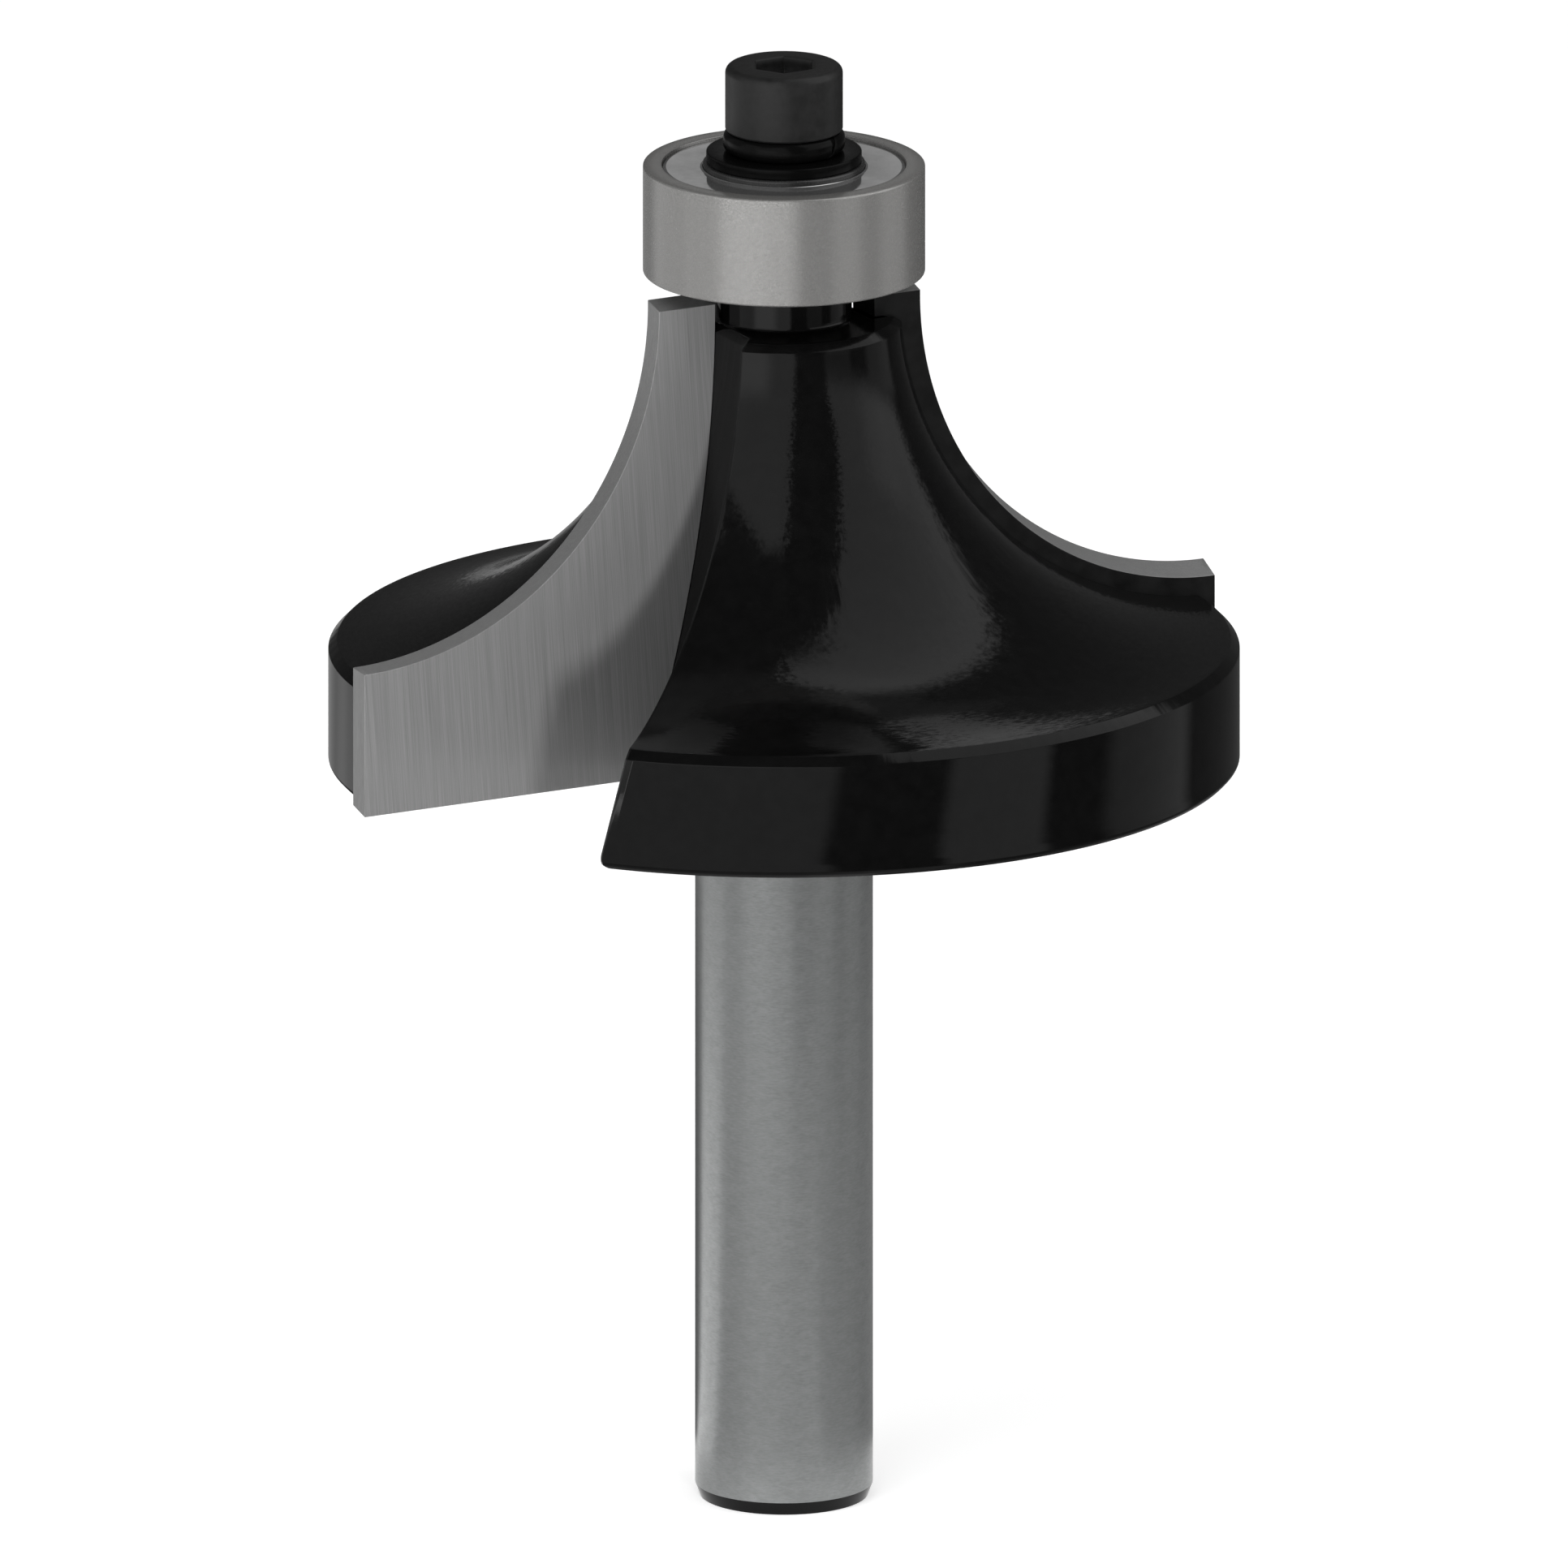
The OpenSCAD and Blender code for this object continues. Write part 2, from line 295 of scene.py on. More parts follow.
def stroke_tilts(group, into):
    """How far the strokes tilt the surface, round the axis and up."""
    for label, stretch in (("Swing", 1.0), ("Rise", 1.37)):
        strokes = effect(group, turned_grain,
                         Around=maths(group, "MULTIPLY", into.outputs["Around"], stretch),
                         Along=maths(group, "MULTIPLY", into.outputs["Along"], stretch))
        centred = maths(group, "SUBTRACT", strokes, 0.5)
        yield maths(group, "MULTIPLY", centred, into.outputs[label])


def make_fine_strokes():
    """Tilts the surface a little, stroke by stroke, with the strokes running round Z."""
    group, into, out = new_group("fine_strokes", "Normal", "NodeSocketVector",
                                 Around=24.0, Along=8000.0, Swing=0.3, Rise=0.2)
    swing, rise = stroke_tilts(group, into)
    up = (0.0, 0.0, 1.0)
    tangent = vector_maths(group, "NORMALIZE",
                           vector_maths(group, "CROSS_PRODUCT", up, place_on_piece(group)))
    aside = vector_maths(group, "SCALE", tangent, scale=swing)
    tilt = vector_maths(group, "ADD", aside, put_together(group, z=rise))
    turn = add(group, "ShaderNodeVectorTransform", vector_type="VECTOR",
               convert_from="OBJECT", convert_to="WORLD")
    feed(group, turn.inputs[0], tilt)
    normal = surface_normal(group)
    facing_up = split_up(group, normal)[2]
    keep = remap(group, facing_up, UPRIGHT, SLOPING, LEAST_STROKES, 1.0)
    faded = vector_maths(group, "SCALE", turn.outputs[0], scale=keep)
    total = vector_maths(group, "ADD", normal, faded)
    group.links.new(vector_maths(group, "NORMALIZE", total), out.inputs["Normal"])
    return group


fine_strokes = make_fine_strokes()
print(fine_strokes.name, "nodes", len(fine_strokes.nodes))

# %% [markdown]
# Material helpers
# Every finish here has one Principled shader. What is the same all over a surface is set
# on the shader's own sockets, and only what changes over the surface is linked: a noise
# that moves the colour, the roughness and a small bump. The helpers below do that for all
# of the finishes.

# %% Material helpers
NOISE_LOW, NOISE_HIGH = 0.3, 0.7


def grey(level):
    """A colour with as much red as green and blue."""
    return (level, level, level)


def new_material(name, colour, roughness, metallic=0.0, **sockets):
    """A material with one Principled shader and constants set on its sockets."""
    material = bpy.data.materials.new(name)
    material.use_nodes = True
    shader = material.node_tree.nodes["Principled BSDF"]
    shader.inputs["Base Color"].default_value = (*colour, 1.0)
    shader.inputs["Roughness"].default_value = roughness
    shader.inputs["Metallic"].default_value = metallic
    for label, value in sockets.items():
        shader.inputs[label.replace("_", " ")].default_value = value
    return material, material.node_tree, shader


def shade(tree, shader, value, low, high, span=(0.35, 0.65)):
    """Lets a noise, over a span of its values, move the colour between two colours."""
    mix = add(tree, "ShaderNodeMix", data_type="RGBA")
    # a Mix node has sockets for every kind of data; 6, 7 and output 2 are its colours
    mix.inputs[6].default_value = (*low, 1.0)
    mix.inputs[7].default_value = (*high, 1.0)
    tree.links.new(remap(tree, value, *span, 0.0, 1.0), mix.inputs[0])
    tree.links.new(mix.outputs[2], shader.inputs["Base Color"])


def roughen(tree, shader, value, low, high):
    """Lets a noise move the roughness between two numbers."""
    rough = remap(tree, value, NOISE_LOW, NOISE_HIGH, low, high)
    tree.links.new(rough, shader.inputs["Roughness"])


def bump(tree, shader, value, depth, before=None):
    """A bump, with its depth in millimetres; before is a normal that it starts from."""
    node = add(tree, "ShaderNodeBump")
    node.inputs["Strength"].default_value = 1.0
    node.inputs["Distance"].default_value = depth * MM
    tree.links.new(value, node.inputs["Height"])
    if before is not None:
        tree.links.new(before, node.inputs["Normal"])
    tree.links.new(node.outputs[0], shader.inputs["Normal"])


print("shared effects", [group.name for group in bpy.data.node_groups])

# %% [markdown]
# Black coating
# The milled body is coated a deep gloss black. Such a black shows little but what it
# mirrors, so its own colour is almost nothing, and a low index of refraction keeps the
# mirrored panels dim. One flat roughness would look like plastic: slopes are a little
# rougher than upright faces, patches vary it, and the strokes break up every edge.

# %% Black coating
def make_coating():
    """Gloss black, with patches and strokes."""
    material, tree, shader = new_material("gloss_black_coating", grey(0.0025), 0.06, IOR=1.25)
    patches = effect(tree, mottle, Size=1400.0, Detail=6.0)
    shade(tree, shader, patches, grey(0.0021), grey(0.003))
    facing_up = split_up(tree, surface_normal(tree))[2]
    slope = remap(tree, facing_up, 0.03, 0.3, 0.055, 0.105)
    uneven = remap(tree, patches, NOISE_LOW, NOISE_HIGH, -0.015, 0.02)
    rough = maths(tree, "ADD", slope, uneven)
    tree.links.new(rough, shader.inputs["Roughness"])
    strokes = effect(tree, fine_strokes, Around=42.0, Along=13000.0, Swing=0.15, Rise=0.07)
    bump(tree, shader, patches, 0.0015, before=strokes)
    return material


coating = make_coating()
print("made", coating.name)

# %% [markdown]
# Ground steel of the shank
# The shank is left bare and ground round. Two sizes of turned grain give the lines that
# the wheel left, and Anisotropic spreads the shine across them, as ground metal does.
# Metallic stays near a half, which leaves some plain grey between the mirrored panels.

# %% Ground steel of the shank
def make_ground_steel():
    """Bright steel with lines that run round it."""
    material, tree, shader = new_material("ground_steel", (0.21, 0.216, 0.215), 0.3, 0.55,
                                          Anisotropic=0.6, Anisotropic_Rotation=0.25)
    fine = effect(tree, turned_grain, Around=14.0, Along=16000.0, Detail=3.0)
    broad = effect(tree, turned_grain, Around=5.0, Along=2200.0, Detail=4.0)
    both = maths(tree, "ADD", maths(tree, "MULTIPLY", fine, 0.6),
                 maths(tree, "MULTIPLY", broad, 0.4))
    shade(tree, shader, both, (0.185, 0.191, 0.19), (0.24, 0.247, 0.246))
    roughen(tree, shader, both, 0.36, 0.27)
    bump(tree, shader, fine, 0.004)
    return material


ground_steel = make_ground_steel()
print("made", ground_steel.name)

# %% [markdown]
# Ground carbide
# A tip is made of carbide, a hard and rather matt grey. Its cutting face is ground with
# straight strokes, and these show as light and dark lines more than as shine. So the grain
# moves the colour most here, in a fine and a broad size, and the roughness only a little.

# %% Ground carbide
def make_carbide():
    """Matt grey with straight lines that lean a little."""
    material, tree, shader = new_material("ground_carbide", grey(0.21), 0.4, 0.3)
    fine = effect(tree, straight_grain, Across=22000.0, Along=140.0, Lean=0.07, Detail=5.0)
    broad = effect(tree, straight_grain, Across=4200.0, Along=60.0, Lean=0.07, Detail=3.0)
    both = maths(tree, "ADD", maths(tree, "MULTIPLY", fine, 0.78),
                 maths(tree, "MULTIPLY", broad, 0.22))
    shade(tree, shader, both, grey(0.178), grey(0.264), span=(0.36, 0.64))
    roughen(tree, shader, both, 0.42, 0.33)
    bump(tree, shader, fine, 0.005)
    return material


carbide = make_carbide()
print("made", carbide.name)

# %% [markdown]
# Dark brazed back of a tip
# A tip's back and inner edge aren't ground after brazing: the heat and the coating leave
# them dark and uneven. A plain black would do from far off, but large soft patches in the
# colour and the bump hold up close by as well.

# %% Dark brazed back of a tip
def make_dark_carbide():
    """Nearly black, dull and uneven."""
    material, tree, shader = new_material("dark_carbide", grey(0.003), 0.5, IOR=1.3)
    patches = effect(tree, mottle, Size=900.0, Detail=8.0)
    shade(tree, shader, patches, grey(0.0012), grey(0.006), span=(0.35, 0.68))
    roughen(tree, shader, patches, 0.35, 0.6)
    bump(tree, shader, patches, 0.02)
    return material


dark_carbide = make_dark_carbide()
print("made", dark_carbide.name)

# %% [markdown]
# Bearing steel
# The outer ring is ground like the shank, but finer, and its steel is a little warmer. One
# size of turned grain is enough. The ring's flat ends are ground smoother than its outside
# and mirror more, so they get a finish of their own.

# %% Steel of the outer ring
def make_bearing_steel():
    """Warm grey steel with very fine lines round it."""
    material, tree, shader = new_material("fine_ground_bearing_steel", (0.23, 0.2275, 0.222),
                                          0.28, 0.55, Anisotropic=0.6,
                                          Anisotropic_Rotation=0.25)
    fine = effect(tree, turned_grain, Around=60.0, Along=14000.0, Detail=3.0)
    shade(tree, shader, fine, (0.21, 0.2075, 0.202), (0.25, 0.2475, 0.242))
    roughen(tree, shader, fine, 0.31, 0.24)
    bump(tree, shader, fine, 0.004)
    return material


def make_smooth_steel(name, colour, roughness, metallic, dullest, smoothest):
    """Steel turned so fine that only its shine shows the lines."""
    material, tree, shader = new_material(name, colour, roughness, metallic)
    fine = effect(tree, turned_grain, Around=60.0, Along=14000.0, Detail=3.0)
    roughen(tree, shader, fine, dullest, smoothest)
    bump(tree, shader, fine, 0.002)
    return material


bearing_steel = make_bearing_steel()
face_steel = make_smooth_steel("ground_ring_face", (0.36, 0.355, 0.345), 0.2, 0.75, 0.24, 0.16)
print("made", bearing_steel.name, face_steel.name)

# %% [markdown]
# Inner ring and pressed shields
# Between the washer and the shield the inner ring shows as a thin dark line in the
# washer's shade, so its steel gets a dark colour, which is painted shade. The shields are
# pressed from smooth bright sheet and mirror most of all. Pressed sheet has no grain that
# runs round it, so a soft mottle in the roughness serves here.

# %% Inner ring and pressed shields
def make_shield_steel():
    """Smooth bright sheet."""
    material, tree, shader = new_material("pressed_shield_steel", grey(0.5), 0.07, 0.9)
    uneven = effect(tree, mottle, Size=700.0, Detail=4.0)
    roughen(tree, shader, uneven, 0.05, 0.11)
    bump(tree, shader, uneven, 0.002)
    return material


# the inner ring's dark colour is painted shade from the washer over it
inner_steel_painted_shade = make_smooth_steel("inner_ring_painted_shade", grey(0.035), 0.3, 0.5, 0.3, 0.2)
shield_steel = make_shield_steel()
print("made", inner_steel_painted_shade.name, shield_steel.name)

# %% [markdown]
# Black oxide
# The screw is blackened in a bath, which leaves a thin satin skin, a touch lighter than
# the coating. The washers are blackened and smoother, and darker as painted shade from the
# head over them. Both are the same mottle with other numbers. Less specular paints more of that
# shade.

# %% Black oxide of the screw and washers
def make_black_oxide():
    """A satin black skin."""
    material, tree, shader = new_material("black_oxide", grey(0.009), 0.42, IOR=1.32)
    patches = effect(tree, mottle, Size=2500.0, Detail=6.0)
    shade(tree, shader, patches, grey(0.0065), grey(0.0105))
    roughen(tree, shader, patches, 0.36, 0.48)
    bump(tree, shader, patches, 0.004)
    return material


def make_washer_oxide_painted_shade():
    """The same skin, darker and less specular: painted shade from the head over the washers."""
    # the washers' dark colour and low specular are painted shade of the screw head above them
    material, tree, shader = new_material("black_oxide_painted_shade", grey(0.0022), 0.2, IOR=1.25,
                                          Specular_IOR_Level=0.2)
    patches = effect(tree, mottle, Size=2500.0, Detail=6.0)
    roughen(tree, shader, patches, 0.15, 0.26)
    bump(tree, shader, patches, 0.003)
    return material


black_oxide = make_black_oxide()
washer_oxide_painted_shade = make_washer_oxide_painted_shade()
print("made", black_oxide.name, washer_oxide_painted_shade.name)

# %% [markdown]
# Polished balls and brass cage
# The shields hide the balls and their cage, but whoever takes the bearing apart sees them.
# Bearing balls are polished like mirrors, which takes a full metal with hardly any
# roughness. The cage is turned brass, so it has the turned grain in its roughness.

# %% Polished balls and brass cage
def make_ball_steel():
    """Steel polished almost to a mirror."""
    material, tree, shader = new_material("polished_ball_steel", grey(0.6), 0.06, 1.0)
    roughen(tree, shader, effect(tree, mottle, Size=1200.0, Detail=3.0), 0.04, 0.1)
    return material


def make_cage_brass():
    """Turned brass."""
    material, tree, shader = new_material("cage_brass", (0.6, 0.45, 0.18), 0.3, 1.0)
    fine = effect(tree, turned_grain, Around=40.0, Along=9000.0, Detail=3.0)
    roughen(tree, shader, fine, 0.25, 0.4)
    bump(tree, shader, fine, 0.003)
    return material


def dress(node, material):
    """Gives a CAD node that stays as it is a finish of its own."""
    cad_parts[node].data.materials.clear()
    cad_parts[node].data.materials.append(material)


ball_steel = make_ball_steel()
BALLS = 9
for number in range(1, BALLS + 1):
    dress(f"ball_{number}", ball_steel)
cage_brass = make_cage_brass()
dress("bearing_cage", cage_brass)
print("made", ball_steel.name, cage_brass.name, "for", BALLS, "balls and their cage")

# %% [markdown]
# Profiles
# Most of a router bit is turned on a lathe, so a profile in radius and height, spun round
# the axis, makes it. No real corner is quite sharp: each catches a thin line of light. A
# Bevel modifier could round them, but it gives one width to all, so here every corner of a
# profile states its own radius.

# %% Profiles with round corners
def turned_by(vector, angle):
    """A flat vector turned by an angle."""
    return Vector((vector.x * math.cos(angle) - vector.y * math.sin(angle),
                   vector.x * math.sin(angle) + vector.y * math.cos(angle)))


def rounded(corners, steps=6, closed=False):
    """Points of a profile; each corner is (distance out, height, corner radius)."""
    points = []
    last = len(corners) - 1
    for i, (x, z, r) in enumerate(corners):
        here = Vector((x, z))
        if r == 0 or (not closed and i in (0, last)):
            points.append(here)
            continue
        to_prev = (Vector(corners[i - 1][:2]) - here).normalized()
        to_next = (Vector(corners[(i + 1) % len(corners)][:2]) - here).normalized()
        half = to_prev.angle(to_next) / 2
        centre = here + (to_prev + to_next).normalized() * (r / math.sin(half))
        start = here + to_prev * (r / math.tan(half)) - centre
        turn = math.pi - 2 * half
        if to_prev.cross(to_next) > 0:
            turn = -turn
        points += [centre + turned_by(start, turn * k / steps) for k in range(steps + 1)]
    return points


unit_square = [(1, 0, 0.1), (2, 0, 0.1), (2, 1, 0.1), (1, 1, 0.1)]
print("a square with round corners has", len(rounded(unit_square, closed=True)), "points")

# %% [markdown]
# Spinning and welding
# The Screw modifier could turn a profile as well, but the spin operator does it in the
# mesh, where the faces can then be sorted and given finishes. A spin and a stack can both
# turn a shape inside out, so every closed piece has its doubles merged and its faces
# pointed outwards.

# %% Spinning a profile
MERGE = 1e-5


def spin_profile(bm, points, steps=180, closed=False):
    """Spins a profile once round the Z axis."""
    verts = [bm.verts.new((p.x, 0.0, p.y)) for p in points]
    edges = [bm.edges.new(pair) for pair in zip(verts, verts[1:])]
    if closed:
        edges.append(bm.edges.new((verts[-1], verts[0])))
    bmesh.ops.spin(bm, geom=verts + edges, cent=(0, 0, 0), axis=(0, 0, 1),
                   angle=2 * math.pi, steps=steps, use_merge=True, use_duplicate=False)
    bmesh.ops.remove_doubles(bm, verts=bm.verts, dist=MERGE)


def weld_and_turn_out(bm):
    """Merges doubles and points every face outwards."""
    bmesh.ops.remove_doubles(bm, verts=bm.verts, dist=MERGE)
    bmesh.ops.recalc_face_normals(bm, faces=bm.faces)


print("points closer than", MERGE, "are merged")

# %% [markdown]
# Stacks of rings
# What isn't round at every height, such as the milled body or the hexagon socket, can't be
# spun. It could be cut with Boolean modifiers, but these leave long thin faces that shade
# badly. A stack of rings does better: one ring of edges is extruded again and again, and
# each copy is moved to the outline at its own level.

# %% Stacking rings
def stack_rings(bm, rings):
    """Extrudes one ring of points from level to level, and closes both ends."""
    place = bm.verts.layers.int.new("place")
    verts = [bm.verts.new(p) for p in rings[0]]
    for i, v in enumerate(verts):
        v[place] = i
    edges = [bm.edges.new((verts[i - 1], verts[i])) for i in range(len(verts))]
    for ring in rings[1:]:
        made = bmesh.ops.extrude_edge_only(bm, edges=edges)["geom"]
        edges = [g for g in made if isinstance(g, bmesh.types.BMEdge)
                 and len(g.link_faces) == 1]
        for v in (g for g in made if isinstance(g, bmesh.types.BMVert)):
            v.co = ring[v[place]]
    ends = [e for e in bm.edges if len(e.link_faces) == 1]
    bmesh.ops.holes_fill(bm, edges=ends, sides=0)


def round_ring(radius, z, angles):
    """A ring of points on a circle."""
    return [Vector((radius * math.cos(a), radius * math.sin(a), z)) for a in angles]


# the last ring round the axis is this small, and one face closes it
POLE_R = 0.02
print("the ring at a pole has a radius of", POLE_R, "mm")

# %% [markdown]
# Finishing a piece
# Each piece ends in the same way. It is scaled to metres in its mesh, so that its object
# stays at the origin, unturned and unscaled, as the CAD nodes do. Then it is tied to the
# frame: it joins the body that it moves with, and the CAD node that it stands for is hidden.
# The Weighted Normal modifier keeps large faces flat beside their narrow rounded edges.

# %% Finishing a piece
def finish_piece(name, bm, materials, body, nodes):
    """Makes a piece from a bmesh in millimetres and ties it to the frame."""
    bmesh.ops.scale(bm, vec=(MM, MM, MM), verts=bm.verts)
    for face in bm.faces:
        face.smooth = True
    open_edges = sum(1 for edge in bm.edges if len(edge.link_faces) != 2)
    mesh = bpy.data.meshes.new(name)
    bm.to_mesh(mesh)
    bm.free()
    for material in materials:
        mesh.materials.append(material)
    piece = bpy.data.objects.new(name, mesh)
    bpy.context.scene.collection.objects.link(piece)
    modifier = piece.modifiers.new("even_shading", "WEIGHTED_NORMAL")
    modifier.mode = "FACE_AREA"
    modifier.weight = 50
    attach(piece, body)
    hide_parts(*nodes)
    print(name, "faces", len(mesh.polygons), "open edges", open_edges)
    return piece


print("pieces are scaled by", MM, "as they are finished")

# %% [markdown]
# Cutter body
# A real body is turned from bar, and then two gullets are milled into it with a big wheel:
# the wheel's side cuts the seat of the tip, its rim the floor and its cone the far wall. A
# level cut through the body is therefore two arcs joined by straight walls, and the body
# is built from such cuts. First comes the gullet: how far its wall stands from the YZ
# plane at any level, and where it comes out at the rim.

# %% The gullet's wall
gullet_x = 3.49
wheel_r = 66.0
wheel_x = gullet_x + wheel_r
floor_w = 2.8
flank_slope = math.tan(math.radians(41))


def gullet_wall(y, z, inset):
    """Distance of a gullet's wall from the YZ plane at a level."""
    rho = wheel_r - flank_slope * max(0.0, y - floor_w)
    return wheel_x - math.sqrt(rho * rho - (tip_top - z) ** 2) - inset


def flank_meets_rim(z, radius, inset):
    """Where the far wall of a gullet meets the outside, found by halving 40 times."""
    low, high = 0.0, radius
    for _ in range(40):
        y = (low + high) / 2
        if math.hypot(gullet_wall(y, z, inset), y) < radius:
            low = y
        else:
            high = y
    return Vector((gullet_wall(low, z, inset), low))


print("the gullet leaves the rim at", tuple(flank_meets_rim(tip_low, rim_r, 0.0)))

# %% [markdown]
# The corners of a level
# Where the walls come out at the outside there is an edge, and the coating softens it. A
# narrow flat bevel, with its own two edges softened, mirrors a thin line of light as the
# real edge does. Each bevel is drawn between the points where it starts and ends.

# %% The corners of a level
corner_leg = 0.1
wall_leg = 0.3
soft_r = 0.05
LEAD, LOOK_BACK = 0.1, 0.3


def on_circle(radius, angle):
    """A point on a circle round the axis."""
    return Vector((radius * math.cos(angle), radius * math.sin(angle)))


def bevelled(before, first, second, after):
    """A flat bevel between two points, with both its edges softened."""
    corners = [(*before, 0), (*first, soft_r), (*second, soft_r), (*after, 0)]
    return rounded(corners, steps=3)[1:-1]


def seat_corner(seat_y, radius):
    """The outer corner of a seat: its bevel, its angle and where the seat starts."""
    angle = math.asin(seat_y / radius) - corner_leg / radius
    edge_x = math.sqrt(radius ** 2 - seat_y ** 2) - corner_leg
    start = Vector((edge_x - LEAD, seat_y))
    bevel = bevelled(on_circle(radius, angle - LEAD / radius), on_circle(radius, angle),
                     Vector((edge_x, seat_y)), start)
    return bevel, angle, start


def trailing_corner(z, radius, inset):
    """The corner after the far wall: its bevel, its angle and where the wall ends."""
    meet = flank_meets_rim(z, radius, inset)
    back_y = meet.y - LOOK_BACK
    near = Vector((gullet_wall(back_y, z, inset), back_y))
    inward = (near - meet).normalized()
    angle = math.atan2(meet.y, meet.x) + corner_leg / radius
    leave = meet + inward * (corner_leg + LEAD)
    bevel = bevelled(leave, meet + inward * corner_leg, on_circle(radius, angle),
                     on_circle(radius, angle + LEAD / radius))
    return bevel, angle, leave


print("points in a bevel", len(trailing_corner(tip_low, rim_r, 0.0)[0]))

# %% [markdown]
# The outline of one level
# Half of the outline is enough, because the other half is the same turned half round. The
# points run along the seat, the floor, the blend and the far wall, and then along the
# outside. Every level has the same number of points in the same order, which lets the
# levels be joined. They lie closer together near the corners, where the shape turns.

# %% The outline of one level
tip_t = 2.1
floor_blend_r = 0.8
LEAST_WALL, BLEND_SHARE = 0.2, 0.12
SEAT_STEPS, FLOOR_STEPS, BLEND_STEPS = 12, 10, 6
FLANK_STEPS, ARC_STEPS = 24, 96


def ease(t):
    """Spreads points so that they lie closer at both ends."""
    return t * t * (3 - 2 * t)


def gullet_points(z, start, leave, inset):
    """A gullet's floor, its blend and its far wall, up to where the wall ends."""
    blend_y = min(floor_w, leave.y - LEAST_WALL)
    low_point = Vector((start.x, blend_y - floor_blend_r / 2))
    knee = Vector((start.x, blend_y))
    high_y = blend_y + (leave.y - blend_y) * BLEND_SHARE
    high_point = Vector((gullet_wall(high_y, z, inset), high_y))
    points = [start.lerp(low_point, k / FLOOR_STEPS) for k in range(FLOOR_STEPS)]
    for k in range(BLEND_STEPS):
        t = k / BLEND_STEPS
        points.append(low_point * (1 - t) ** 2 + knee * 2 * t * (1 - t) + high_point * t * t)
    for k in range(FLANK_STEPS + 1):
        y = high_point.y + (leave.y - high_point.y) * ease(k / FLANK_STEPS)
        points.append(Vector((gullet_wall(y, z, inset), y)))
    return points


def half_outline(z, radius, inset):
    """Half of a level's outline, from the seat of tip 1 round to the seat of tip 2."""
    seat_y = -tip_t - min(inset, wall_leg)
    seat_bevel, seat_angle, seat_start = seat_corner(seat_y, radius)
    seat_end = Vector((gullet_wall(0.0, z, inset), seat_y))
    far_bevel, far_angle, far_start = trailing_corner(z, radius, inset)
    points = seat_bevel
    points += [seat_start.lerp(seat_end, ease(k / SEAT_STEPS)) for k in range(SEAT_STEPS)]
    points += gullet_points(z, seat_end, far_start, inset)
    points += far_bevel
    first = far_angle + LEAD / radius
    last = math.pi + seat_angle - LEAD / radius
    points += [on_circle(radius, first + (last - first) * ease(k / ARC_STEPS))
               for k in range(ARC_STEPS + 1)]
    return points


def outline(z, radius, inset):
    """A level's whole outline, as points in space."""
    half = half_outline(z, radius, inset)
    return [Vector((p.x, p.y, z)) for p in half + [-p for p in half]]


print("points in a level's outline", len(outline(tip_low, rim_r, 0.0)))

# %% [markdown]
# The levels up the flare
# From the rim's underside to the deck under the bearing, the outside is a profile like a
# turned part's, so its heights and radii come from the same rounding helper. The walls of
# the gullet are rounded too, at their foot and at the deck. A bevel operator could do it,
# but it tangles where so many short edges meet, so each level carries its own inset: how
# far the walls stand back there.

# %% The flare's profile
rim_leg = 0.4
rim_bevel = 0.2
deck_leg, deck_run = 0.35, 0.2
low_round = 0.7
LOW_STEPS, FLARE_STEPS = 8, 64
profile_r, tip_proud = 15.0, 1.1
body_arc_r = profile_r + tip_proud
deck_drop = 0.97
deck_z = tip_top - deck_drop


def flare_x(z):
    """Radius of the flare at a height."""
    return cut_r - math.sqrt(body_arc_r ** 2 - (tip_top - z) ** 2)


def flare_z(x):
    """Height of the flare at a radius."""
    return tip_top - math.sqrt(body_arc_r ** 2 - (cut_r - x) ** 2)


def flare_corners():
    """The outside's corners, from the rim's underside up to the deck."""
    outer, end_z = rim_r - rim_leg, deck_z - deck_leg
    start_z = flare_z(outer)
    corners = []
    for k in range(LOW_STEPS + 1):
        up = low_round * (1 - math.cos(math.pi / 2 * k / LOW_STEPS))
        corners.append((rim_r - max(0.0, rim_bevel - up), tip_low + up, 0))
    corners += [(rim_r, start_z - rim_leg, soft_r), (outer, start_z, soft_r)]
    first = math.atan2(tip_top - start_z, cut_r - outer)
    last = math.asin((tip_top - end_z) / body_arc_r)
    for k in range(1, FLARE_STEPS):
        a = first + (last - first) * k / FLARE_STEPS
        corners.append((cut_r - body_arc_r * math.cos(a), tip_top - body_arc_r * math.sin(a), 0))
    inner = flare_x(end_z) - deck_leg
    return corners + [(flare_x(end_z), end_z, soft_r), (inner, deck_z, soft_r),
                      (inner - deck_run, deck_z, 0)]


def wall_inset(z):
    """How far the gullet's walls stand back at a height."""
    gap = min(low_round, max(0.0, low_round - (z - tip_low)))
    at_foot = low_round - math.sqrt(low_round ** 2 - gap ** 2)
    return max(at_foot, 0.0, wall_leg - (deck_z - z))


flare = [outline(p.y, p.x, wall_inset(p.y)) for p in rounded(flare_corners(), steps=3)]
print("levels", len(flare), "from", round(tip_low, 2), "to", round(deck_z, 2))

# %% [markdown]
# The whole body
# Below the flare are the shank and its fillet, above it the neck, the spindle that carries
# the bearing and the hole for the screw. All of them are round, so their rings are circles
# with as many points as the flare's outlines have, and one stack makes the body in one
# piece. The shank keeps bare steel, and the rest gets the black coating.

# %% The whole body
shank_r, end_bevel_h, end_bevel_w = 4.0, 0.6, 0.22
root_fillet = 1.0
neck_r, neck_fillet = 3.05, 0.2
spindle_r = 2.37
hole_r, hole_depth, hole_tip = 1.53, 6.9, 0.9


def shank_profile():
    """The shank from its flat end up to the fillet under the rim."""
    corners = [(POLE_R, 0, 0), (shank_r - end_bevel_w, 0, 0.05), (shank_r, end_bevel_h, 0.3),
               (shank_r, tip_low - 2 * root_fillet, 0), (shank_r, tip_low, root_fillet),
               (shank_r + 2 * root_fillet, tip_low, 0)]
    return rounded(corners)[:-1]


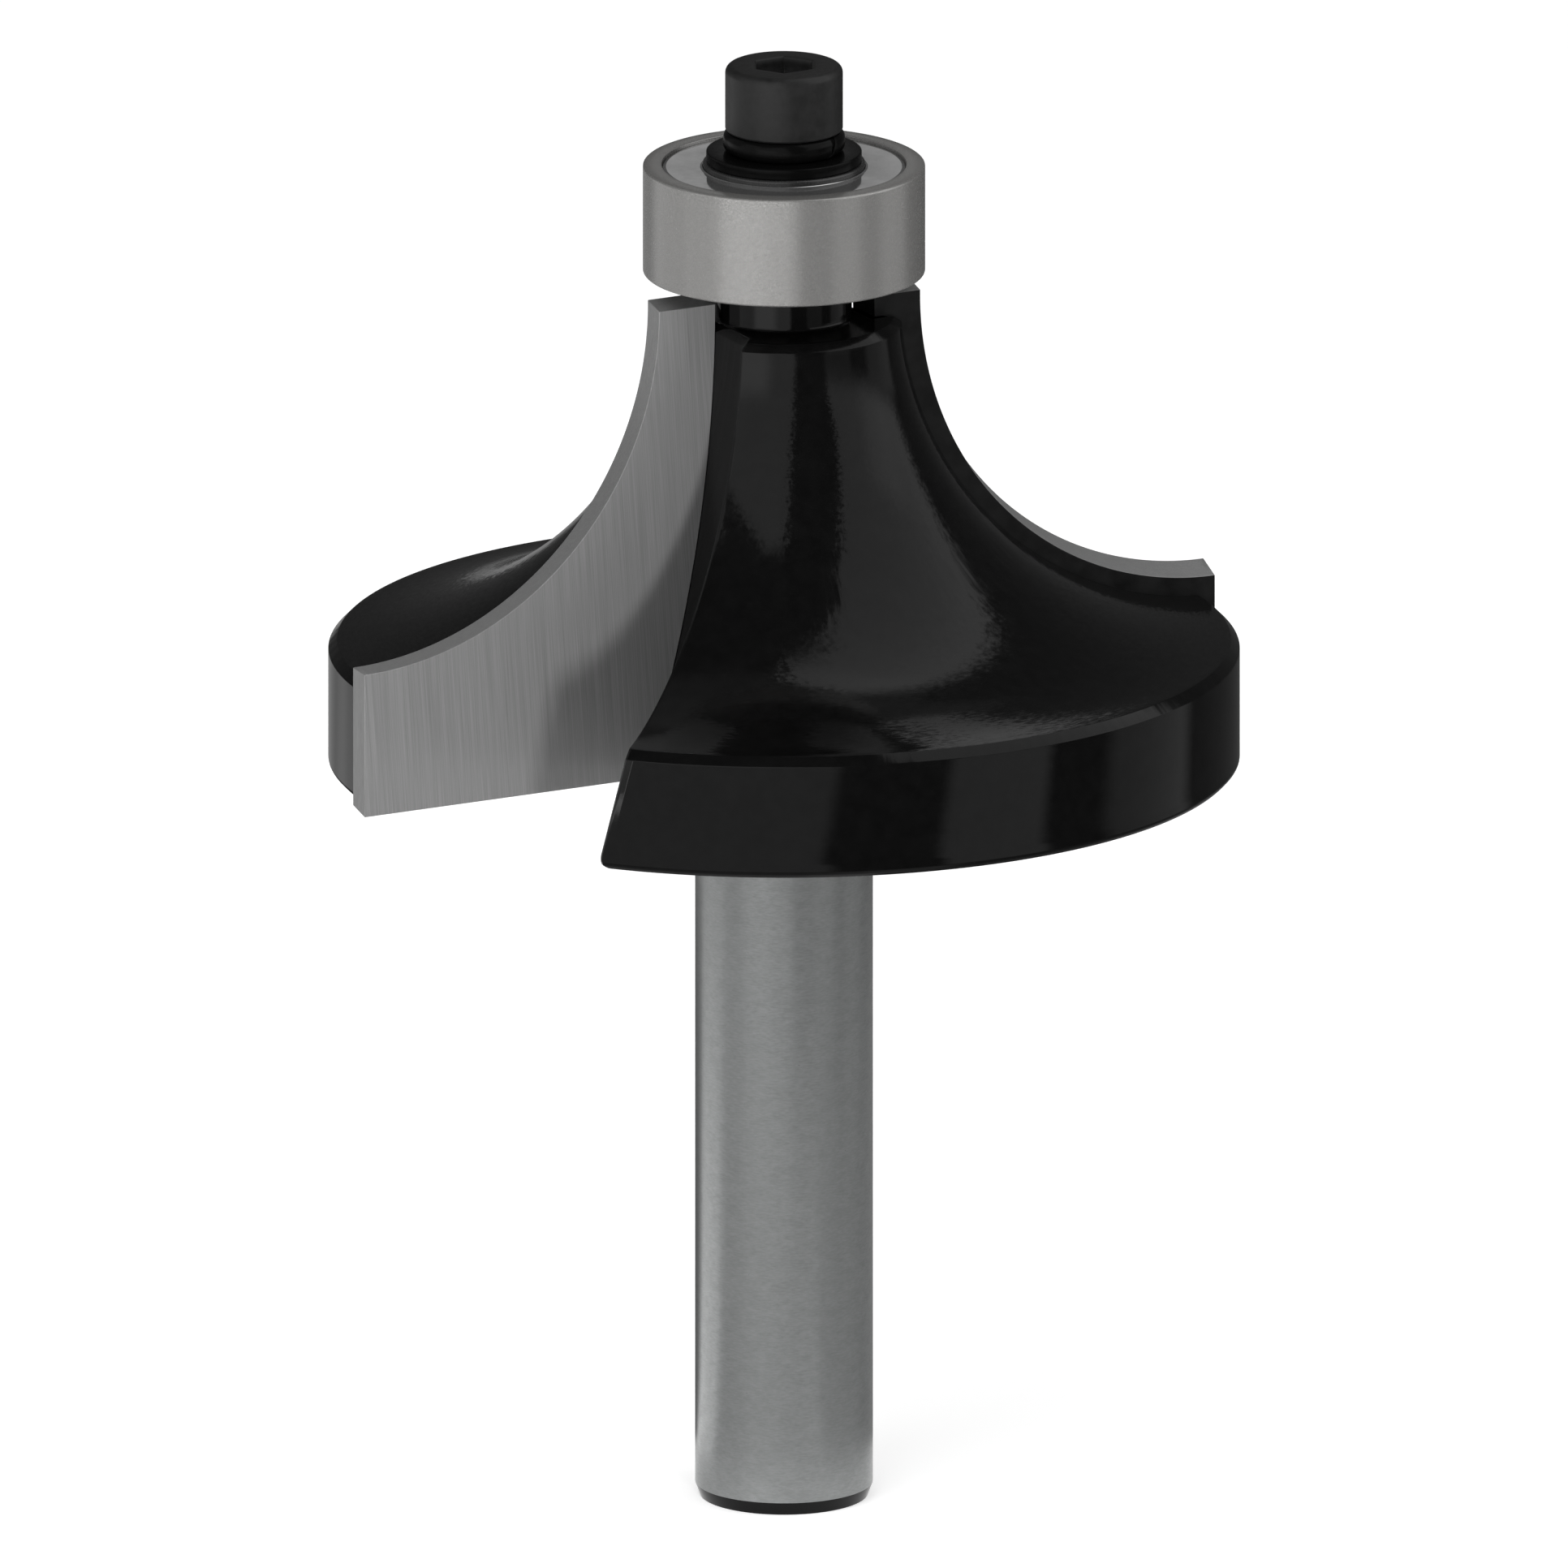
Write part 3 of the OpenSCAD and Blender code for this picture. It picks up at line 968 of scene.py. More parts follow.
def spindle_profile():
    """The neck, the spindle and its hole, from the deck up and down again."""
    hole_end = spindle_top - hole_depth
    corners = [(neck_r + neck_fillet + 0.02, deck_z, 0), (neck_r, deck_z, neck_fillet),
               (neck_r, inner_low, 0.1), (spindle_r, inner_low, 0),
               (spindle_r, spindle_top, 0.2), (hole_r, spindle_top, 0),
               (hole_r, hole_end, 0), (POLE_R, hole_end - hole_tip, 0)]
    return rounded(corners, steps=4)[1:]


def build_cutter_body():
    """Shank, flare, neck and spindle in one stack."""
    count = len(flare[0])
    start = math.atan2(flare[0][0].y, flare[0][0].x)
    even = [start + 2 * math.pi * i / count for i in range(count)]
    rings = [round_ring(p.x, p.y, even) for p in shank_profile()]
    rings += flare
    rings += [round_ring(p.x, p.y, even) for p in spindle_profile()]
    bm = bmesh.new()
    stack_rings(bm, rings)
    weld_and_turn_out(bm)
    for face in bm.faces:
        bare = end_bevel_h < face.calc_center_median().z < tip_low - root_fillet
        face.material_index = 1 if bare else 0
    return finish_piece("cutter_body_finished", bm, [coating, ground_steel], "cutter",
                        ["cutter_body"])


build_cutter_body()

# %% [markdown]
# Cutting tips
# A tip is a slip of carbide ground to the round that the bit cuts. Its outline is drawn
# once on the cutting face and pulled back through the tip's thickness, and the back
# outline is moved in by the relief angles, so that only the front edge touches the wood. A
# ground edge is crisp, so the bevel round it is only a few hundredths of a millimetre.

# %% Outline of a tip
side_relief = math.tan(math.radians(14))
top_relief = math.tan(math.radians(6))
ROUND_STEPS, SEAT_LINE_STEPS = 80, 24


def tip_outline(shift_x, shift_z):
    """Outline of a tip; the shifts are the relief at that depth."""
    centre = Vector((cut_r - shift_x, tip_top - shift_z))
    points = [Vector((gullet_wall(0.0, tip_low, 0.0), tip_low)), Vector((centre.x, tip_low))]
    first = 1.5 * math.pi
    last = math.pi - math.asin(shift_z / profile_r)
    for k in range(ROUND_STEPS + 1):
        a = first + (last - first) * k / ROUND_STEPS
        points.append(centre + profile_r * Vector((math.cos(a), math.sin(a))))
    for k in range(SEAT_LINE_STEPS):
        z = tip_top + (tip_low - tip_top) * k / SEAT_LINE_STEPS
        points.append(Vector((gullet_wall(0.0, z, 0.0), z)))
    return points


print("points round a tip", len(tip_outline(0.0, 0.0)))

# %% [markdown]
# One tip
# The outline becomes a face, and the face is extruded straight back. Each new point is
# then moved to its place in the back outline, found by a number that the extrusion
# copies. Faces that look back or towards the seat get the dark finish. The second tip is
# the first one turned half round.

# %% One tip
tip_edge = 0.035
SHARP = math.radians(30)


def build_tip(name, node, turn):
    """A tip for the seat at +X, or for the other one when it is turned half round."""
    front = tip_outline(0.0, 0.0)
    back = tip_outline(side_relief * tip_t, top_relief * tip_t)
    bm = bmesh.new()
    place = bm.verts.layers.int.new("place")
    verts = [bm.verts.new((p.x, 0.0, p.y)) for p in front]
    for i, v in enumerate(verts):
        v[place] = i
    face = bm.faces.new(verts)
    made = bmesh.ops.extrude_face_region(bm, geom=[face], use_keep_orig=True)["geom"]
    for v in (g for g in made if isinstance(g, bmesh.types.BMVert)):
        p = back[v[place]]
        v.co = (p.x, -tip_t, p.y)
    weld_and_turn_out(bm)
    sharp = [e for e in bm.edges if e.calc_face_angle(0.0) > SHARP]
    bmesh.ops.bevel(bm, geom=sharp, offset=tip_edge, offset_type="OFFSET", segments=2,
                    profile=0.5, affect="EDGES", material=-1, clamp_overlap=True)
    for f in bm.faces:
        f.material_index = 1 if f.normal.y < -0.9 or f.normal.x < -0.7 else 0
    if turn:
        bmesh.ops.rotate(bm, cent=(0, 0, 0), verts=bm.verts,
                         matrix=Matrix.Rotation(math.pi, 3, "Z"))
    return finish_piece(name, bm, [carbide, dark_carbide], "cutter", [node])


build_tip("tip_1_ground", "cutting_tip_1", False)
build_tip("tip_2_ground", "cutting_tip_2", True)

# %% [markdown]
# Rings of the pilot bearing
# The rings are turned and ground, so both are spun from closed profiles. The outer ring
# has a step at each end where a shield is pressed in, and the inner ring has a lip at each
# end that a shield comes close to. Their edges have the small even radius that a bearing
# has, so that it slides along the wood. The outer ring's flat ends get their own finish.

# %% Rings of the pilot bearing
shield_sink, shield_t = 0.12, 0.2
recess_r = 5.5
bore_r, lip_r, lip_h = 2.38, 3.65, 0.3
land_in_r, land_out_r = 3.75, 4.98


def build_outer_ring():
    """The ring that runs along the wood."""
    low, high = ring_low + shield_sink + shield_t, ring_high - shield_sink - shield_t
    corners = [(bearing_r, ring_low, 0.1), (bearing_r, ring_high, 0.1),
               (recess_r, ring_high, 0.03), (recess_r, high, 0.02), (land_out_r, high, 0.04),
               (land_out_r, low, 0.04), (recess_r, low, 0.02), (recess_r, ring_low, 0.03)]
    bm = bmesh.new()
    spin_profile(bm, rounded(corners, closed=True), closed=True)
    weld_and_turn_out(bm)
    for face in bm.faces:
        face.material_index = 1 if abs(face.normal.z) > 0.95 else 0
    return finish_piece("outer_ring_ground", bm, [bearing_steel, face_steel], "pilot_ring",
                        ["bearing_outer_ring"])


def build_inner_ring():
    """The ring that sits still on the spindle."""
    corners = [(bore_r, inner_low, 0.08), (lip_r, inner_low, 0.1),
               (lip_r, inner_low + lip_h, 0.05), (land_in_r, inner_low + 2 * lip_h, 0.05),
               (land_in_r, inner_high - 2 * lip_h, 0.05), (lip_r, inner_high - lip_h, 0.05),
               (lip_r, inner_high, 0.1), (bore_r, inner_high, 0.08)]
    bm = bmesh.new()
    spin_profile(bm, rounded(corners, closed=True), closed=True)
    weld_and_turn_out(bm)
    return finish_piece("inner_ring_ground", bm, [inner_steel_painted_shade], "cutter",
                        ["bearing_inner_ring"])


build_outer_ring()
build_inner_ring()

# %% [markdown]
# Shields
# A shield is a flat washer of thin sheet, pressed into the outer ring to keep chips out.
# It turns down in a soft round at the rim, and its bore turns up a little beside the inner
# ring. The same profile makes both, with its heights mirrored for the lower one.

# %% Shields
shield_gap = 0.03


def build_shield(name, node, face_z, up):
    """A shield with its face at face_z; up is 1 for the upper one and -1 for the lower."""
    rim = recess_r - shield_gap
    bore = lip_r + 0.02
    profile = [(rim, -shield_t, 0.03), (rim, -0.03, 0.03), (rim - 0.15, 0.0, 0.15),
               (bore + 0.08, 0.0, 0.1), (bore, 0.05, 0.02), (bore, -shield_t, 0.03)]
    corners = [(x, face_z + up * z, r) for x, z, r in profile]
    bm = bmesh.new()
    spin_profile(bm, rounded(corners, closed=True), closed=True)
    weld_and_turn_out(bm)
    return finish_piece(name, bm, [shield_steel], "pilot_ring", [node])


build_shield("shield_upper_pressed", "shield_upper", ring_high - shield_sink, 1)
build_shield("shield_lower_pressed", "shield_lower", ring_low + shield_sink, -1)

# %% [markdown]
# Flat washer
# The flat washer is punched from sheet, and tumbling takes its burrs off, so its edges are
# soft. It is spun like the rings, with a small radius at each corner.

# %% Flat washer
screw_r = 1.5
washer_gap = 0.1


def build_flat_washer():
    """The washer that holds the inner ring down."""
    inside, outside = screw_r + washer_gap, reach("flat_washer")
    low, high = heights("flat_washer")
    corners = [(inside, low, 0.04), (outside, low, 0.06), (outside, high, 0.06),
               (inside, high, 0.04)]
    bm = bmesh.new()
    spin_profile(bm, rounded(corners, closed=True), closed=True)
    weld_and_turn_out(bm)
    return finish_piece("flat_washer_punched", bm, [washer_oxide_painted_shade], "cutter", ["flat_washer"])


build_flat_washer()

# %% [markdown]
# Spring washer
# The spring washer is one turn of square wire with well rounded corners, cut through on a
# slant. It could be spun short of a full turn, but then the slant would be missing. So a
# filled section is spun a full turn without merging, which leaves two end faces in one
# place, and both are then moved apart and leaned over.

# %% Spring washer
spring_low, spring_high = heights("spring_washer")
spring_gap = 0.05
SPLIT_AT = math.radians(-64)
SPLIT_HALF = 0.06
SPLIT_LEAN = math.tan(math.radians(25))


def build_spring_washer():
    """A full turn whose two ends lean over to make the split."""
    inside, outside = screw_r + spring_gap, reach("spring_washer", axis=1)
    corners = [(inside, spring_low, 0.1), (outside, spring_low, 0.36),
               (outside, spring_high, 0.36), (inside, spring_high, 0.1)]
    bm = bmesh.new()
    section = bm.faces.new([bm.verts.new((p.x, 0.0, p.y))
                            for p in rounded(corners, closed=True)])
    bmesh.ops.spin(bm, geom=[section], cent=(0, 0, 0), axis=(0, 0, 1), angle=2 * math.pi,
                   steps=180, use_merge=False, use_duplicate=False)
    # only the two end faces have more than four corners
    ends = [f for f in bm.faces if len(f.verts) > 4]
    middle = (spring_low + spring_high) / 2
    for face, side in zip(ends, (1, -1)):
        for v in face.verts:
            v.co.y += side * SPLIT_HALF + (v.co.z - middle) * SPLIT_LEAN
    bmesh.ops.recalc_face_normals(bm, faces=bm.faces)
    bmesh.ops.rotate(bm, cent=(0, 0, 0), verts=bm.verts,
                     matrix=Matrix.Rotation(SPLIT_AT, 3, "Z"))
    return finish_piece("spring_washer_split", bm, [washer_oxide_painted_shade], "cutter", ["spring_washer"])


build_spring_washer()

# %% [markdown]
# Cap screw
# The screw's head is turned, and a hexagon socket is pressed into it. The outside alone
# could be spun, but the socket couldn't, so the whole screw is a stack of rings: circles
# up the outside, hexagons down into the socket, and circles again for its drilled end. All
# have the same number of points, so a circle passes into a hexagon without a seam.

# %% Cap screw
screw_low, head_high = heights("cap_screw")
head_r = reach("cap_screw")
screw_bevel = 0.3
hex_half, hex_depth, hex_edge = 1.25, 1.5, 0.06
hex_turn = math.radians(32)
hex_corner_r = hex_half / math.cos(math.pi / 6)
socket_land = 0.16
drill_r, drill_tip = hex_half * 0.95, 0.35
HEAD_STEPS = 180


def hexagon_ring(half, depth, angles):
    """A hexagon of points, with half its width across flats, at a depth in the head."""
    sector = math.pi / 3
    points = []
    for a in angles:
        from_flat = (a - hex_turn + sector / 2) % sector - sector / 2
        r = half / math.cos(from_flat)
        points.append(Vector((r * math.cos(a), r * math.sin(a), head_high - depth)))
    return points


def build_cap_screw():
    """Shank, head and socket in one stack."""
    angles = [2 * math.pi * i / HEAD_STEPS for i in range(HEAD_STEPS)]
    outside = rounded([(POLE_R, screw_low, 0), (screw_r - screw_bevel, screw_low, 0),
                       (screw_r, screw_low + screw_bevel, 0), (screw_r, spring_high, 0),
                       (head_r, spring_high, 0.12), (head_r, head_high, 0.35),
                       (hex_corner_r + socket_land, head_high, 0)])
    rings = [round_ring(p.x, p.y, angles) for p in outside]
    for half, depth in ((hex_half + hex_edge, 0.0), (hex_half + hex_edge / 3, 0.02),
                        (hex_half, hex_edge), (hex_half, 0.3), (hex_half, hex_depth)):
        rings.append(hexagon_ring(half, depth, angles))
    rings.append(round_ring(drill_r, head_high - hex_depth, angles))
    rings.append(round_ring(POLE_R, head_high - hex_depth - drill_tip, angles))
    bm = bmesh.new()
    stack_rings(bm, rings)
    weld_and_turn_out(bm)
    return finish_piece("cap_screw_finished", bm, [black_oxide], "cutter", ["cap_screw"])


build_cap_screw()

# %% [markdown]
# Camera
# A product picture of a small tool is taken from far off with a long lens, so it shows
# almost no perspective. An orthographic camera shows none at all and is easy to aim: its
# scale is the width of the picture in metres, from how many pixels a millimetre takes.

# %% Camera
VIEW_AZIMUTH = math.radians(-27.95)
VIEW_ELEVATION = math.radians(15.25)
PICTURE_PIXELS = 1932
PIXELS_PER_MM = 27.4
AIM_Z, CAMERA_AWAY = 0.03304, 0.6


def make_camera():
    """An orthographic camera that looks down a little."""
    data = bpy.data.cameras.new("camera")
    data.type = "ORTHO"
    data.ortho_scale = PICTURE_PIXELS / PIXELS_PER_MM * MM
    data.clip_end = 10.0
    piece = bpy.data.objects.new("camera", data)
    bpy.context.scene.collection.objects.link(piece)
    piece.rotation_euler = (math.pi / 2 - VIEW_ELEVATION, 0.0, VIEW_AZIMUTH)
    aim = Vector((0.0, 0.0, AIM_Z))
    back = Vector((math.sin(VIEW_AZIMUTH) * math.cos(VIEW_ELEVATION),
                   -math.cos(VIEW_AZIMUTH) * math.cos(VIEW_ELEVATION),
                   math.sin(VIEW_ELEVATION)))
    piece.location = aim + back * CAMERA_AWAY
    bpy.context.scene.camera = piece
    bpy.context.scene.view_settings.view_transform = "Standard"
    return piece


print("picture is", round(make_camera().data.ortho_scale, 4), "m wide")

# %% [markdown]
# Floor and world
# The bit stands on plain white paper. More light would turn the paper white but would wash
# out the bit too, so a little glow in the floor does it instead, and only the camera, the
# reflections and glass see that glow. The world works in the same way: it is white to look
# at, and lights the bit at half of that.

# %% Floor and world
FLOOR_SIZE, FLOOR_GLOW = 4.0, 0.46
WORLD_LIGHT, WORLD_SEEN = 0.5, 1.0


def looked_at(tree):
    """1 for rays from the camera or a reflection or through glass, and 0 for the rest."""
    rays = add(tree, "ShaderNodeLightPath").outputs
    mirrored = maths(tree, "MAXIMUM", rays["Is Glossy Ray"], rays["Is Transmission Ray"])
    return maths(tree, "MAXIMUM", rays["Is Camera Ray"], mirrored)


def make_floor():
    """A pale matt floor without any gloss."""
    bm = bmesh.new()
    bmesh.ops.create_grid(bm, x_segments=1, y_segments=1, size=FLOOR_SIZE)
    mesh = bpy.data.meshes.new("floor")
    bm.to_mesh(mesh)
    bm.free()
    material, tree, shader = new_material("pale_floor", grey(0.82), 0.9,
                                          Specular_IOR_Level=0.0)
    shader.inputs["Emission Color"].default_value = (1, 1, 1, 1)
    glow = maths(tree, "MULTIPLY", looked_at(tree), FLOOR_GLOW)
    tree.links.new(glow, shader.inputs["Emission Strength"])
    mesh.materials.append(material)
    floor = bpy.data.objects.new("floor", mesh)
    bpy.context.scene.collection.objects.link(floor)
    return floor


def make_world():
    """A white world that lights at half strength."""
    world = bpy.data.worlds.new("studio")
    bpy.context.scene.world = world
    world.use_nodes = True
    tree = world.node_tree
    back = tree.nodes["Background"]
    back.inputs["Color"].default_value = (1, 1, 1, 1)
    strength = remap(tree, looked_at(tree), 0.0, 1.0, WORLD_LIGHT, WORLD_SEEN)
    tree.links.new(strength, back.inputs["Strength"])
    return world


print("made", make_floor().name, "and", make_world().name)

# %% [markdown]
# Light tent
# Gloss black and ground steel look as they do because of what stands round them. In a
# studio that is a tent of white panels with dark gaps. Each panel could be a lamp of its
# own, but then it would change the light on every surface. Here one dome carries all of
# them in its material, and only reflections can see it. A panel is a window in two angles,
# in degrees right of the camera and up, with soft edges.

# %% Soft windows
def step_up(tree, value, edge, soft):
    """Rises from 0 to 1 round an edge."""
    node = add(tree, "ShaderNodeMapRange", interpolation_type="SMOOTHSTEP")
    feed(tree, node.inputs["Value"], value)
    node.inputs["From Min"].default_value = edge - soft
    node.inputs["From Max"].default_value = edge + soft
    return node.outputs["Result"]


def window(tree, value, low, high, soft):
    """1 between two edges and 0 outside them."""
    rise = step_up(tree, value, low, soft)
    fall = maths(tree, "SUBTRACT", 1.0, step_up(tree, value, high, soft))
    return maths(tree, "MULTIPLY", rise, fall)


print("finishes so far", [material.name for material in bpy.data.materials])

# %% [markdown]
# The plain panels
# Most panels are simple windows, so they are rows of a table. A row holds a name, the left
# edge, the right edge and how soft these are, the lower edge, the upper edge and how soft
# these are, and the panel's brightness. The panels behind the bit count their angle on
# past 180 degrees, because a window can't go over the place where the angle starts again.

# %% The plain panels
FRONT_PANELS = [
    ("glow in the left front box", (-50, -14, 8), (-6, 9, 4), 1.0),
    ("bright line at its foot", (-54, 4, 4), (-10.3, -9.2, 0.25), 4.6),
    ("fainter line to the right", (4, 34, 4), (-9.2, -7.9, 0.3), 1.5),
    ("side of the right box", (72, 98, 8), (4, 30, 5), 0.4),
    ("right strip, upper part", (39, 66, 2.5), (-11, 2, 2), 0.3),
    ("right strip, middle part", (39, 66, 2.5), (-15.4, -11, 1), 0.9),
    ("right strip, lower part", (39, 66, 2.5), (-20, -15.4, 1), 0.4),
    ("far right strip", (85, 117, 4), (-17, 2, 2), 0.42),
    ("floor at the left front", (-50, 11, 5), (-95, -20, 3), 0.42),
    ("floor in the middle", (11, 43, 6), (-95, -22, 3), 0.6),
    ("floor at the right", (43, 122, 6), (-95, -22, 3), 0.12),
    ("floor at the far right", (122, 170, 8), (-95, -17, 1), 0.2),
    ("floor at the left", (-131, -88, 7), (-95, -22, 4), 1.8),
    ("left box, foot", (-131, -88, 7), (-20, -11, 1.5), 0.6),
    ("left box, middle", (-131, -88, 7), (-11, 2, 1.5), 0.9),
    ("left box, upper part", (-131, -88, 7), (2, 50, 4), 0.28),
    ("beside the left box", (-146, -122, 6), (-17, -11, 1.5), 0.3),
    ("between the left boxes, foot", (-88, -50, 3), (-95, -13.6, 1.5), 0.42),
    ("between the left boxes", (-88, -50, 3), (-13.6, 50, 1.5), 0.92),
    ("far left strip", (-177, -131, 5), (-17, -4, 2), 0.25),
]
BACK_PANELS = [
    ("small light behind", (178.6, 181.6, 0.6), (17.2, 20.6, 0.5), 0.34),
    ("high band behind", (150, 210, 4), (56, 75, 3), 0.13),
    ("patch right of the narrow box", (163, 175, 2), (43, 57, 3), 0.1),
    ("patch left of the narrow box", (184, 200, 2), (43, 57, 3), 0.12),
]
print("plain panels", len(FRONT_PANELS) + len(BACK_PANELS))

# %% [markdown]
# Angles in the tent
# The tent's material has to know where on the dome it is. It could use a UV map, but the
# place in Object coordinates gives both angles with a little trigonometry, and a panel can
# then be moved by changing its row. The last node of each panel carries its name as a
# label, so the panel is easy to find in the material.

# %% Angles in the tent
MIDDLE_Z = 0.035


def tent_angles(tree):
    """Degrees right of the camera and degrees up, as the bit's middle sees them."""
    turn = add(tree, "ShaderNodeMapping")
    turn.inputs["Rotation"].default_value = (0.0, 0.0, -VIEW_AZIMUTH)
    feed(tree, turn.inputs["Vector"], place_on_piece(tree))
    x, y, z = split_up(tree, turn.outputs[0])
    towards = maths(tree, "MULTIPLY", y, -1.0)
    angle = maths(tree, "MULTIPLY", maths(tree, "ARCTAN2", x, towards), 180 / math.pi)
    out = maths(tree, "SQRT", maths(tree, "ADD", maths(tree, "MULTIPLY", x, x),
                                    maths(tree, "MULTIPLY", towards, towards)))
    above = maths(tree, "SUBTRACT", z, MIDDLE_Z)
    rise = maths(tree, "MULTIPLY", maths(tree, "ARCTAN2", above, out), 180 / math.pi)
    return angle, rise


def panel(tree, name, shape, rise, span, level):
    """A shape cut off at a lower and an upper edge, at its brightness."""
    cut = maths(tree, "MULTIPLY", shape, window(tree, rise, *span))
    lit = maths(tree, "MULTIPLY", cut, level)
    lit.node.label = name
    return lit


def plain_panels(tree, angle, rise, rows):
    """The panels of a table; rows with the same side edges share one window."""
    shapes = {}
    for name, sides, span, level in rows:
        if sides not in shapes:
            shapes[sides] = window(tree, angle, *sides)
        yield panel(tree, name, shapes[sides], rise, span, level)


print("the bit's middle is", MIDDLE_Z, "m up")

# %% [markdown]
# The slanted boxes
# Three boxes have edges that aren't upright: the big one at the left front leans, the
# right one grows wider with height, and the narrow one behind drifts sideways. A straight
# window would give straight streaks on the flare, where the real ones bend. So the height
# is first mixed into the angle, and the window then cuts the slanted value.

# %% The slanted boxes
def front_box(tree, angle, rise, positive):
    """The left front box: its sides lean, and its top comes down at the far left."""
    # both side edges move 0.18 degrees to the left for every degree up
    leaning = maths(tree, "ADD", angle, maths(tree, "MULTIPLY", positive, 0.18))
    front = window(tree, leaning, -50, 11, 2.5)
    # left of -15 degrees the top comes down 0.7 degrees for every degree
    slant = maths(tree, "MAXIMUM", maths(tree, "SUBTRACT", -15.0, angle), 0.0)
    lowered = maths(tree, "ADD", rise, maths(tree, "MULTIPLY", slant, 0.7))
    tall = maths(tree, "MULTIPLY", window(tree, lowered, -200, 58, 4), front)
    return [panel(tree, "left front box, foot", front, rise, (-17, -9.5, 1.0), 0.8),
            panel(tree, "left front box", tall, rise, (-9.5, 70, 2.0), 1.15)]


def right_box(tree, angle, rise, positive):
    """The right box, whose right edge runs away faster the higher it is."""
    # the left edge moves 6 degrees to the right at 14 degrees up, and 30 more at the top
    low_edge = maths(tree, "MULTIPLY", step_up(tree, rise, 14, 8), 6.0)
    lifted = maths(tree, "MULTIPLY", step_up(tree, rise, 74, 12), 30.0)
    leaning = maths(tree, "SUBTRACT", maths(tree, "SUBTRACT", angle, low_edge), lifted)
    from_left = step_up(tree, leaning, 40, 2.5)
    # the right edge moves by the square of the height
    squared = maths(tree, "MULTIPLY", positive, positive)
    spread = maths(tree, "SUBTRACT", angle, maths(tree, "MULTIPLY", squared, 0.0128))
    to_right = maths(tree, "SUBTRACT", 1.0, step_up(tree, spread, 111, 7))
    both = maths(tree, "MULTIPLY", from_left, to_right)
    return [panel(tree, "right box", both, rise, (4, 82, 5.0), 1.17)]


def narrow_box(tree, behind, rise):
    """The narrow box behind, which drifts sideways as it rises."""
    # it moves 0.3 degrees sideways for every degree up, and stands true at 28.7
    drift = maths(tree, "MULTIPLY", maths(tree, "SUBTRACT", rise, 28.7), 0.3)
    shape = window(tree, maths(tree, "ADD", behind, drift), 173.7, 177.5, 1.2)
    return [panel(tree, "narrow box behind", shape, rise, (25.8, 47, 2), 0.55)]


print("slanted boxes", [f.__name__ for f in (front_box, right_box, narrow_box)])

# %% [markdown]
# Material of the tent
# The panels only give light, so the material is black, and their brightness goes into the
# emission strength. A dim base keeps the gaps from going quite black, as they aren't in a
# real room.

# %% Material of the tent
TENT_BASE = 0.07


def tent_material():
    """All panels added up on a dim base."""
    material, tree, shader = new_material("light_tent", grey(0.0), 1.0,
                                          Specular_IOR_Level=0.0)
    shader.inputs["Emission Color"].default_value = (1, 1, 1, 1)
    angle, rise = tent_angles(tree)
    positive = maths(tree, "MAXIMUM", rise, 0.0)
    past_start = maths(tree, "MULTIPLY", maths(tree, "LESS_THAN", angle, 0.0), 360.0)
    behind = maths(tree, "ADD", angle, past_start)
    panels = front_box(tree, angle, rise, positive)
    panels += right_box(tree, angle, rise, positive)
    panels += plain_panels(tree, angle, rise, FRONT_PANELS)
    panels += narrow_box(tree, behind, rise)
    panels += plain_panels(tree, behind, rise, BACK_PANELS)
    total = TENT_BASE
    for brightness in panels:
        total = maths(tree, "ADD", total, brightness)
    tree.links.new(total, shader.inputs["Emission Strength"])
    return material


tent_finish = tent_material()
print("made", tent_finish.name, "nodes", len(tent_finish.node_tree.nodes))

# %% [markdown]
# The tent's shape The tent is a half dome that comes down to a ring of floor round the
# bit. It is spun from a quarter circle, as the bearing's rings are.

